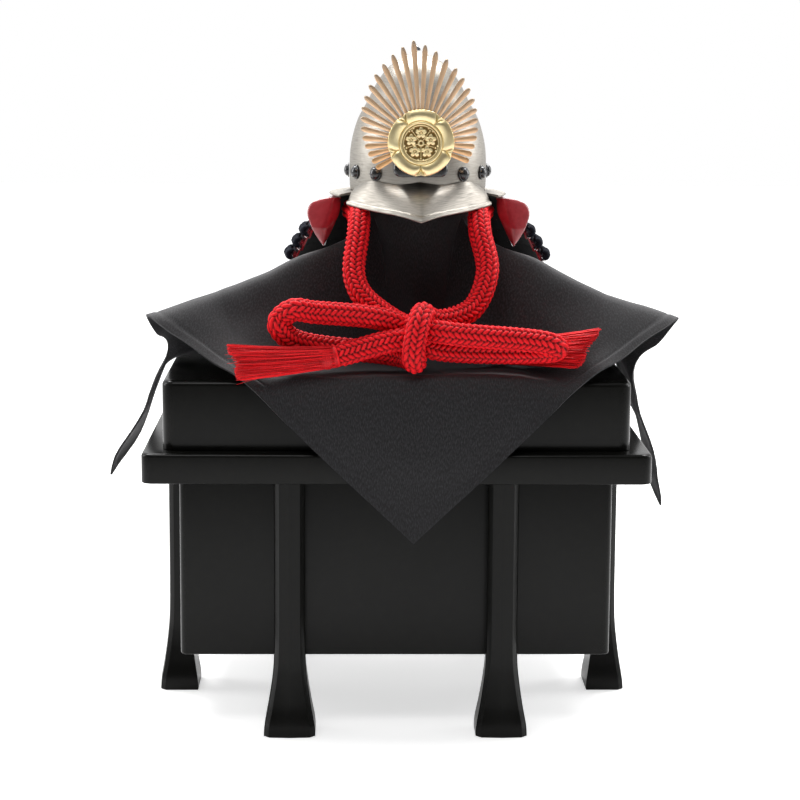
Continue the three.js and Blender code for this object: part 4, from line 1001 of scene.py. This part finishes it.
GUARD_TOP_RADIUS, GUARD_SLOPE, GUARD_LONGER, GUARD_TOP_DROP, GUARD_DROP = 68.5, 0.45, 8.0, 7.5, 48.0
LAME_WALL, LAME_STEP = 1.2, 1.6
FIRST_TURN, LOWER_TURN = 68.0, 76.0
HANGER_RADIUS, HANGER_DROP = 62.0, 4.5
LAMES = [(0, 0.395, FIRST_TURN), (0.385, 0.58, LOWER_TURN), (0.565, 0.765, LOWER_TURN), (0.75, 1, LOWER_TURN)]
LACE_COUNT, LACE_HEIGHT, LACE_RADIUS = 23, 7.6, 3.6


def guard_point(turn, drop, out):
    turn, drop, out = np.broadcast_arrays(*(np.asarray(v, float) for v in (turn, drop, out)))
    radius = GUARD_TOP_RADIUS + (drop - GUARD_TOP_DROP) * GUARD_SLOPE + out
    return np.stack([radius * np.sin(turn * DEG), -(radius + GUARD_LONGER) * np.cos(turn * DEG), -drop], -1)


def lames():
    for index, (top, bottom, first) in enumerate(LAMES):
        out = index * LAME_STEP
        high = GUARD_TOP_DROP + top * GUARD_DROP + (2.6 if index == 0 else 0)
        low = GUARD_TOP_DROP + bottom * GUARD_DROP
        turns = np.linspace(first, 360 - first, 140)
        rows = [guard_point(turns, drop, out) for drop in np.linspace(low, high, 8)]
        outer = [guard_point(turns, drop, out + LAME_WALL) for drop in np.linspace(high, low, 8)[:-1]]
        outer.append(guard_point(turns, low + 0.15, out + LAME_WALL * 0.8))
        if index == 0:
            x = HANGER_RADIUS * np.sin(turns * DEG)
            y = -(HANGER_RADIUS + GUARD_LONGER) * np.cos(turns * DEG)
            rows += [np.stack([x, y, np.full_like(x, -drop)], -1)
                     for drop in (HANGER_DROP + LAME_WALL, HANGER_DROP)]
            for share in (0.2, 0.4, 0.6, 0.8):
                rows.append(rows[9] + (outer[0] - rows[9]) * share + [0, 0, 0.9 * math.sin(math.pi * share)])
        half = LAME_WALL / 2
        bead = [guard_point(turns, low + 0.25 * math.sin(a), out + half + (half + 0.25) * math.cos(a))
                for a in np.linspace(0.4, math.pi - 0.4, 5)]
        sections = np.array(rows + outer[:-1] + bead).transpose(1, 0, 2) + HELMET
        vertices, faces, uv = lofted(sections)
        plate = piece(f"lame_plate_{index + 1}", vertices, faces, RED, [f"shikoro_lame_{index + 1}"], uv,
                      sharp=40)
        # inward faces take the matt black, partly the plates' own black inside and partly painted shade under
        # the guard
        plate.data.materials.append(LINING_AND_SHADE)
        axis = Vector((HEAD_ACROSS * MM, 0, 0))
        for face in plate.data.polygons:
            outward = (face.center - axis) * Vector((1, 1, 0))
            face.material_index = 1 if face.normal.dot(outward.normalized()) < -0.3 else 0


def lacing():
    for index in (1, 2, 3):
        out = index * LAME_STEP + LAME_WALL + CLEARANCE
        middle = GUARD_TOP_DROP + LAMES[index][0] * GUARD_DROP + LACE_HEIGHT / 2 + 0.4
        parts = []
        first = LOWER_TURN + 0.6
        for k in range(LACE_COUNT):
            turn = first + (360 - 2 * first) * (k + 0.5) / LACE_COUNT
            centre = guard_point(turn, middle, out + LACE_RADIUS * 0.95)
            away = unit(guard_point(turn, middle, out + 1) - guard_point(turn, middle, out))
            along = unit(guard_point(turn + 0.5, middle, out) - guard_point(turn - 0.5, middle, out))
            up = unit(np.cross(along, away))
            if up[2] < 0:
                up = -up
            for shift, grow in ((-2.8, 0.92), (0, 1.0), (2.8, 0.92)):
                tilt = rng.normal(0, 0.12)
                angles = np.linspace(-2.05, 2.05, 11)
                wide = 2.5 * grow
                tall = 2.55 * grow + rng.normal(0, 0.08)
                path = (centre + along * (shift + tilt * np.sin(angles))[:, None]
                        + away * (np.cos(angles) * wide - 0.4)[:, None] + up * (np.sin(angles) * tall)[:, None])
                radius = 1.95 - 0.35 * (np.abs(angles) / 2.05) ** 3
                parts.append(lofted(tube(path + HELMET, radius, 9, first=along)))
            waist = np.linspace(0, 2 * np.pi, 17)[:-1]
            knot = centre + HELMET + away * 2.6
            rings = []
            for a in np.linspace(-1.35, 1.35, 8):
                ring = (knot + up * (math.sin(a) * 1.7) + math.cos(a) * (np.cos(waist)[:, None] * along * 3.9
                                                                        + np.sin(waist)[:, None] * away * 1.5))
                rings.append(ring)
            parts.append(lofted(rings))
        turns = np.linspace(first, 360 - first, 150)
        for drop, push in ((middle + 3.1, 0.9), (middle - 3.1, 0.9)):
            path = guard_point(turns, drop, out + push) + HELMET
            parts.append(lofted(tube(path, 0.85, 7)))
        vertices, faces, uv = joined(parts)
        piece(f"lacing_knots_{index}", vertices, faces, NAVY, [f"lacing_row_{index}"], uv)


LEAF_WIDTH, LEAF_HEIGHT, LEAF_DROP, LEAF_WALL, LEAF_INNER = 26.0, 35.0, 4.6, 1.5, 57.5
LEAF_SWEEP, LEAF_FOLD, LEAF_AHEAD = 0.32, 4.0, 3.8
LEAF_ROWS = np.array([(0, 0.06, 0.4), (0.05, 0.03, 0.63), (0.15, 0.02, 0.88), (0.32, 0.05, 0.965),
                      (0.5, 0.15, 0.9), (0.68, 0.26, 0.8), (0.85, 0.37, 0.66), (1, 0.47, 0.5)])


def leaves():
    inner_edge = smooth_table(LEAF_ROWS[:, :2])
    outer_edge = smooth_table(LEAF_ROWS[:, [0, 2]])
    downs = np.concatenate([[0, 0.004, 0.012, 0.025, 0.045], np.linspace(0.07, 1, 40)])
    shares = np.linspace(0, 1, 25)
    for side, name in ((-1, "left"), (1, "right")):
        grid = np.zeros((len(downs), len(shares), 3))
        for i, down in enumerate(downs):
            drop = LEAF_DROP + down * LEAF_HEIGHT
            edge = guard_point(FIRST_TURN, min(drop, 26), 0)
            across = inner_edge(down) + (outer_edge(down) - inner_edge(down)) * shares
            x = LEAF_INNER + across * LEAF_WIDTH
            bow = np.sin(np.pi * shares) * 1.6
            folded = LEAF_FOLD * (1 - down * 0.5) * np.clip(1 - shares / 0.3, 0, 1) ** 1.15
            sweep = (x - edge[0]) * LEAF_SWEEP * np.where(x > edge[0], 1, 0.2)
            ahead = edge[1] - LEAF_AHEAD - bow + folded + sweep
            grid[i] = np.stack([side * x, ahead, np.full_like(x, -drop)], 1)
        through = unit(np.array([-side * LEAF_SWEEP, 1.0, 0])) * LEAF_WALL
        rounding = np.minimum(np.minimum(shares, 1 - shares)[None] * 14, 1) * np.ones(len(downs))[:, None]
        rounding = np.sqrt(np.clip(1 - (1 - rounding) ** 2, 0, 1))
        front = grid + through * 0.45 * (1 - rounding)[:, :, None]
        back = grid + through * (1 - 0.45 * (1 - rounding))[:, :, None]
        vertices, faces = shell(front + HELMET, back + HELMET)
        u = run_lengths(grid, 1)
        v = run_lengths(grid, 0)
        uv = np.stack([u, v], -1).reshape(-1, 2) * MM
        piece(f"turned_plate_{name}", vertices, faces, RED, [f"fukigaeshi_{name}"],
              np.vstack([uv, uv]), sharp=50)


lames()
lacing()
leaves()

# Cloth

RIB_KEYS = ("leave", "lie", "fold_across", "fold_out", "fold_rise", "hem_across", "hem_out", "hem_rise",
            "slide", "billow")
FRONT_RIB = (0.1, 0.62, 0, 1.012, 0.016, 0, 1.155, -0.886, 0, 0.05)
SIDE_RIB = (0.66, 0.42, 1.014, 0, 0.016, 1.212, 0, -0.817, 1, 0.02)
FRONT_QUARTER = (
    (0.14, 0.62, 0.241, 1.012, 0.016, 0.283, 1.147, -0.538, 0, 0.045),
    (0.36, 0.55, 0.48, 1.012, 0.016, 0.53, 1.1, -0.236, 0, 0.02),
    (0.57, 0.44, 0.63, 0.985, 0.014, 0.717, 1.045, -0.008, 0, 0.01),
    (0.78, 0.14, 0.77, 0.82, 0.22, 0.925, 0.96, 0.16, 0, 0),
    (0.84, 0.1, 0.84, 0.65, 0.45, 1.13, 0.873, 0.335, 0, 0),
    (0.83, 0.12, 0.86, 0.52, 0.34, 1.09, 0.66, 0.2, 0.3, 0),
    (0.78, 0.24, 0.93, 0.44, 0.1, 1.03, 0.48, 0.07, 0.6, 0.01),
    (0.7, 0.4, 1.014, 0.24, 0.016, 1.11, 0.25, -0.33, 0.9, 0.02),
)
BACK_RIB = (0.3, 0.5, 0, 1.012, 0.016, 0, 1.155, -0.886, 0, 0.05)
BACK_QUARTER = (
    (0.34, 0.5, 0.241, 1.012, 0.016, 0.283, 1.147, -0.538, 0, 0.045),
    (0.4, 0.45, 0.48, 1.012, 0.016, 0.53, 1.1, -0.236, 0, 0.02),
    (0.48, 0.4, 0.63, 0.985, 0.014, 0.717, 1.045, -0.008, 0, 0.01),
    (0.58, 0.25, 0.77, 0.82, 0.1, 0.925, 0.96, 0.04, 0, 0),
    (0.64, 0.15, 0.84, 0.65, 0.22, 1.09, 0.873, 0.07, 0, 0),
    (0.66, 0.2, 0.86, 0.52, 0.17, 1.07, 0.66, 0.05, 0.3, 0),
    (0.65, 0.3, 0.93, 0.44, 0.085, 1.03, 0.48, 0.055, 0.6, 0.01),
    (0.63, 0.42, 1.014, 0.24, 0.016, 1.11, 0.25, -0.33, 0.9, 0.02),
)
SEAT_INSET = BOWL_WALL + 4 * CLEARANCE + CLOTH_WALL


def seat_radius(height):
    return float(bowl_radius(height * BOWL_HEIGHT, SEAT_INSET))


POST_LEVELS = [(0.85, 0.0), (0.85, seat_radius(0.85) * 0.78), (0.8, seat_radius(0.8)), (0.62, HEAD_RADIUS),
               (0.3, HEAD_RADIUS + (POST_RADIUS - HEAD_RADIUS) * 0.35), (-0.04, POST_RADIUS)]


def over_flange(corner, rib, side_x, side_y):
    """A corner that hangs beside the flange or just over it stays outside the flange's edge."""
    if corner[2] > FLANGE_TOP + CLOTH_SHOULDER - RIM_Z:
        return corner
    if rib["fold_out"] > 0.95:
        corner[1] = side_y * max(side_y * corner[1], FLANGE[1] / 2 + 2 * CLEARANCE)
    if rib["fold_across"] > 1:
        across = side_x * (corner[0] + HEAD_ACROSS)
        corner[0] = side_x * max(across, FLANGE[0] / 2 + 2 * CLEARANCE) - HEAD_ACROSS
    return corner


def rib_points(values, side_x, side_y):
    rib = dict(zip(RIB_KEYS, values))
    shift = CLOTH_SHIFT * (1 - rib["slide"])
    slide = CLOTH_SHIFT * rib["slide"] * side_x
    half_w, half_d = LID[0] / 2, LID[1] / 2
    fold = np.array([side_x * rib["fold_across"] * half_w + shift - HEAD_ACROSS,
                     side_y * rib["fold_out"] * half_d,
                     (rib["fold_rise"] - 1) * RIM_HEIGHT])
    hem = np.array([side_x * rib["hem_across"] * half_w + shift - HEAD_ACROSS, side_y * rib["hem_out"] * half_d,
                    (rib["hem_rise"] - 1) * RIM_HEIGHT - slide])
    flat = np.array([1.0, 1.0, 0.0])
    outward = unit(fold * flat)
    up = np.array([0, 0, 1.0])
    corners = [outward * (radius + (2 * CLEARANCE if radius > 0 else 0))
               + up * (height * BOWL_HEIGHT + CLEARANCE)
               for height, radius in POST_LEVELS]
    leave = outward * (POST_RADIUS + 2 * CLEARANCE) + up * (rib["leave"] - 1) * RIM_HEIGHT
    corners.append(leave)
    run = math.hypot(fold[0], fold[1]) - POST_RADIUS
    turn_down = leave + outward * run * 0.03
    turn_down[2] -= (leave[2] - fold[2]) * (0.25 + 0.7 * min(rib["lie"] * 1.6, 1))
    turn_out = fold - outward * rib["lie"] * run
    turn_out[2] += (leave[2] - fold[2]) * 0.12 * (1 - rib["lie"])
    for t in np.linspace(0, 1, 13)[1:]:
        corners.append((1 - t) ** 3 * leave + 3 * t * (1 - t) ** 2 * turn_down
                       + 3 * t * t * (1 - t) * turn_out + t ** 3 * fold)
    away = unit((hem - fold) * flat)
    for t in (0.06, 0.12, 0.27, 0.42, 0.56, 0.7, 0.85, 1):
        corner = fold + (hem - fold) * t
        corner += away * rib["billow"] * half_d * math.sin(math.pi * t ** 0.7)
        corners.append(over_flange(corner, rib, side_x, side_y))
    return np.array(corners)


def all_ribs():
    """The ribs once round, from the front over the right side and the back."""
    rounds = (((FRONT_RIB, *FRONT_QUARTER), 1, -1), ((SIDE_RIB, *BACK_QUARTER[::-1], BACK_RIB), 1, 1),
              (BACK_QUARTER, -1, 1), ((SIDE_RIB,), -1, 1), (FRONT_QUARTER[::-1], -1, -1))
    return np.array([rib_points(rib, x, y) for group, x, y in rounds for rib in group])


RIB_STEPS, RIBS_A_QUARTER = 8, 9
FLAP_WAVE, HEM_WAVE, SHOULDER_RISE = 7.5, 0.8, 3.5


def flap_waves(grid, hem):
    """Waves of the flaps beside the chest, which stand off it, and of the hem along the wings."""
    shift = np.zeros_like(grid)
    across = grid[:, :, 0] + HEAD_ACROSS
    side = np.sign(across)
    beside = smoothstep(LID[0] / 2 - 2, LID[0] / 2 + 6, np.abs(across))
    hang = smoothstep(0, 55, FLANGE_TOP + 20 - RIM_Z - grid[:, :, 2]) * beside
    phase = np.where(side < 0, 0.4, 2.3)
    shift[:, :, 0] = side * hang * (
        FLAP_WAVE + FLAP_WAVE * np.sin(grid[:, :, 1] / 15.0 + phase + 0.02 * grid[:, :, 2]))
    edge = np.linalg.norm(grid[-1] - np.roll(grid[-1], 1, axis=0), axis=-1).cumsum()
    lying = smoothstep(-8, 12, grid[-1, :, 2] - (LID_TOP - RIM_Z))
    shift[:, :, 2] += HEM_WAVE * (np.sin(edge * 2 * np.pi / 43.0) * lying)[None] * np.exp(-hem / 17.0)
    shoulder = np.exp(-(((np.abs(grid[:, :, 0]) - 85) / 20) ** 2) - ((grid[:, :, 1] + 50) / 17) ** 2)
    shift[:, :, 2] += SHOULDER_RISE * shoulder
    return shift


def cloth():
    ribs = all_ribs()
    count = len(ribs)
    smooth = np.zeros((count * RIB_STEPS, *ribs.shape[1:]))
    sharp = np.zeros_like(smooth)
    for row in range(ribs.shape[1]):
        ring = ribs[:, row]
        looped = np.concatenate([ring[-2:], ring, ring[:3]])
        t = (2 + np.arange(count * RIB_STEPS) / RIB_STEPS) / (len(looped) - 1)
        smooth[:, row] = catmull(looped, t)
        for quarter in range(4):
            first = quarter * RIBS_A_QUARTER
            side = np.take(ring, range(first, first + RIBS_A_QUARTER + 1), axis=0, mode="wrap")
            span = RIBS_A_QUARTER * RIB_STEPS
            sharp[quarter * span:(quarter + 1) * span, row] = catmull(side, np.arange(span) / span)
    rows = ribs.shape[1]
    weight = smoothstep(0.35, 1.0, np.linspace(0, 1, rows))[None, :, None]
    blended = smooth * (1 - weight) + sharp * weight
    dense = []
    for column in blended:
        neck = column[5] + (column[6] - column[5]) * np.linspace(0, 1, 16)[1:-1, None]
        tail = catmull(column[6:], np.linspace(0, 1, 84))
        dense.append(np.concatenate([column[:6], neck, tail]))
    grid = np.array(dense).transpose(1, 0, 2)
    total_rows, total_cols = grid.shape[:2]
    run = run_lengths(grid, 0)
    normals = grid_normals(grid, wrap=True)
    normals = normals * (1 if np.sign(normals[:, :, 2] + 1e-6).mean() > 0 else -1)
    flat = grid.reshape(-1, 3)
    ripple = fractal(flat, 46.0, 3.1) * 1.5 + fractal(flat, 21.0, 8.4) * 0.6
    ripple = ripple.reshape(total_rows, total_cols)
    depth = np.arange(total_rows)[:, None] / (total_rows - 1)
    phi = np.arange(total_cols) / total_cols * 2 * np.pi
    fade = smoothstep(0.3, 0.55, depth)
    behind = smoothstep(0.12, 0.6, 0.5 - 0.5 * np.cos(phi))
    wander = 0.5 * fractal(np.stack([np.cos(phi), np.sin(phi), 0 * phi], 1), 0.6, 2.0)
    gather = (0.5 + 0.5 * np.cos(15 * phi + 4 * wander)) ** 1.3 * (1.6 + 7.4 * behind)
    drop = np.clip(-grid[:, :, 2] - 34, 0, None)
    to_fold = np.clip((run[-1] - run - 120) / 60, 0, 1)
    grid = grid + normals * (ripple * fade + gather * smoothstep(0, 34, drop) * to_fold)[:, :, None]
    hem = run[-1] - run
    grid += flap_waves(grid, hem)
    band = smoothstep(9.0, 7.6, hem)
    inner = grid + normals * (0.35 - 0.25 * band)[:, :, None]
    outer = grid + normals * (1.35 + 0.35 * band - 0.5 * np.exp(-(((hem - 8.3) / 0.8) ** 2)))[:, :, None]
    lid_x, lid_y = LID[0] / 2, LID[1] / 2
    for surface, least in ((inner, 0.45), (outer, 1.2)):
        over = (np.abs(surface[:, :, 0] + HEAD_ACROSS) < lid_x + 1) & (np.abs(surface[:, :, 1]) < lid_y + 1)
        over &= surface[:, :, 2] > -RIM_HEIGHT - 12
        level = surface[:, :, 2]
        surface[:, :, 2] = np.where(over, np.maximum(level, LID_TOP - RIM_Z + least), level)
    uv = np.stack([run * np.sin(phi)[None], -run * np.cos(phi)[None]], -1).reshape(-1, 2) * MM
    vertices, faces = shell(outer + HELMET, inner + HELMET, wrap=True)
    obj = piece("draped_cloth", vertices, faces, SATIN, ["cloth"], np.vstack([uv, uv]), sharp=60)


cloth()

post = bpy.data.objects.get("helmet_post")
if post is not None:
    post.data.materials.clear()
    post.data.materials.append(WOOD)

# Stage and light

ROOM_FRONT, ROOM_BACK = 0.06, 0.95
PAPER_GLOW, PAPER_BOUNCE = 0.6, 0.2


def floor():
    mesh = bpy.data.meshes.new("floor")
    side = 6.0
    corners = [(-side, -side, 0), (side, -side, 0), (side, side, 0), (-side, side, 0)]
    mesh.from_pydata(corners, [], [(0, 1, 2, 3)])
    obj = bpy.data.objects.new("floor", mesh)
    bpy.context.scene.collection.objects.link(obj)
    f = Finish("floor_white", (0.8, 0.8, 0.8), 0.6)
    f.set(emission_color=(1.0, 1.0, 1.0))
    seen = f.nodes.new("ShaderNodeLightPath")
    glow = f.nodes.new("ShaderNodeMath")
    glow.operation = "MULTIPLY_ADD"
    f.links.new(seen.outputs["Is Camera Ray"], glow.inputs[0])
    glow.inputs[1].default_value = PAPER_GLOW - PAPER_BOUNCE
    glow.inputs[2].default_value = PAPER_BOUNCE
    f.links.new(glow.outputs[0], f.shader.inputs["Emission Strength"])
    f.tint(f.noise(6), (0.79, 0.79, 0.79), 0.4, 0.7)
    mesh.materials.append(f.material)


def world():
    """White behind the object, and a room that's dim in front of it and bright behind and above."""
    scene = bpy.context.scene
    scene.view_settings.view_transform = "Standard"
    scene.world = bpy.data.worlds.new("studio")
    scene.world.use_nodes = True
    nodes, links = scene.world.node_tree.nodes, scene.world.node_tree.links
    room = nodes["Background"]
    coords = nodes.new("ShaderNodeTexCoord")
    split = nodes.new("ShaderNodeSeparateXYZ")
    links.new(coords.outputs["Generated"], split.inputs[0])
    ramp = nodes.new("ShaderNodeMapRange")
    for key, value in (("From Min", -0.9), ("From Max", 0.5), ("To Min", ROOM_FRONT), ("To Max", ROOM_BACK)):
        ramp.inputs[key].default_value = value
    links.new(split.outputs["Y"], ramp.inputs["Value"])
    links.new(ramp.outputs[0], room.inputs["Strength"])
    room.inputs["Color"].default_value = (1, 1, 1, 1)
    paper = nodes.new("ShaderNodeBackground")
    paper.inputs["Color"].default_value = (1, 1, 1, 1)
    seen = nodes.new("ShaderNodeLightPath")
    blend = nodes.new("ShaderNodeMixShader")
    links.new(seen.outputs["Is Camera Ray"], blend.inputs[0])
    links.new(room.outputs[0], blend.inputs[1])
    links.new(paper.outputs[0], blend.inputs[2])
    links.new(blend.outputs[0], nodes["World Output"].inputs["Surface"])


def area(name, place, target, size, power):
    data = bpy.data.lights.new(name, "AREA")
    data.shape = "RECTANGLE"
    data.size, data.size_y = size
    data.energy = power
    obj = bpy.data.objects.new(name, data)
    obj.location = place
    obj.rotation_euler = (Vector(target) - Vector(place)).to_track_quat("-Z", "Y").to_euler()
    bpy.context.scene.collection.objects.link(obj)


floor()
world()
for name, place, size, power in (
    ("left_box", (-1.8, 0.35, 0.95), (0.7, 1.3), 15),
    ("right_box", (1.8, 0.5, 0.95), (0.7, 1.3), 15),
    ("back_box", (0, 0.8, 1.8), (2.0, 0.6), 62),
    ("front_box", (-0.35, -1.3, 2.4), (1.5, 0.8), 16),
):
    area(name, place, (0, 0, 0.3), size, power)
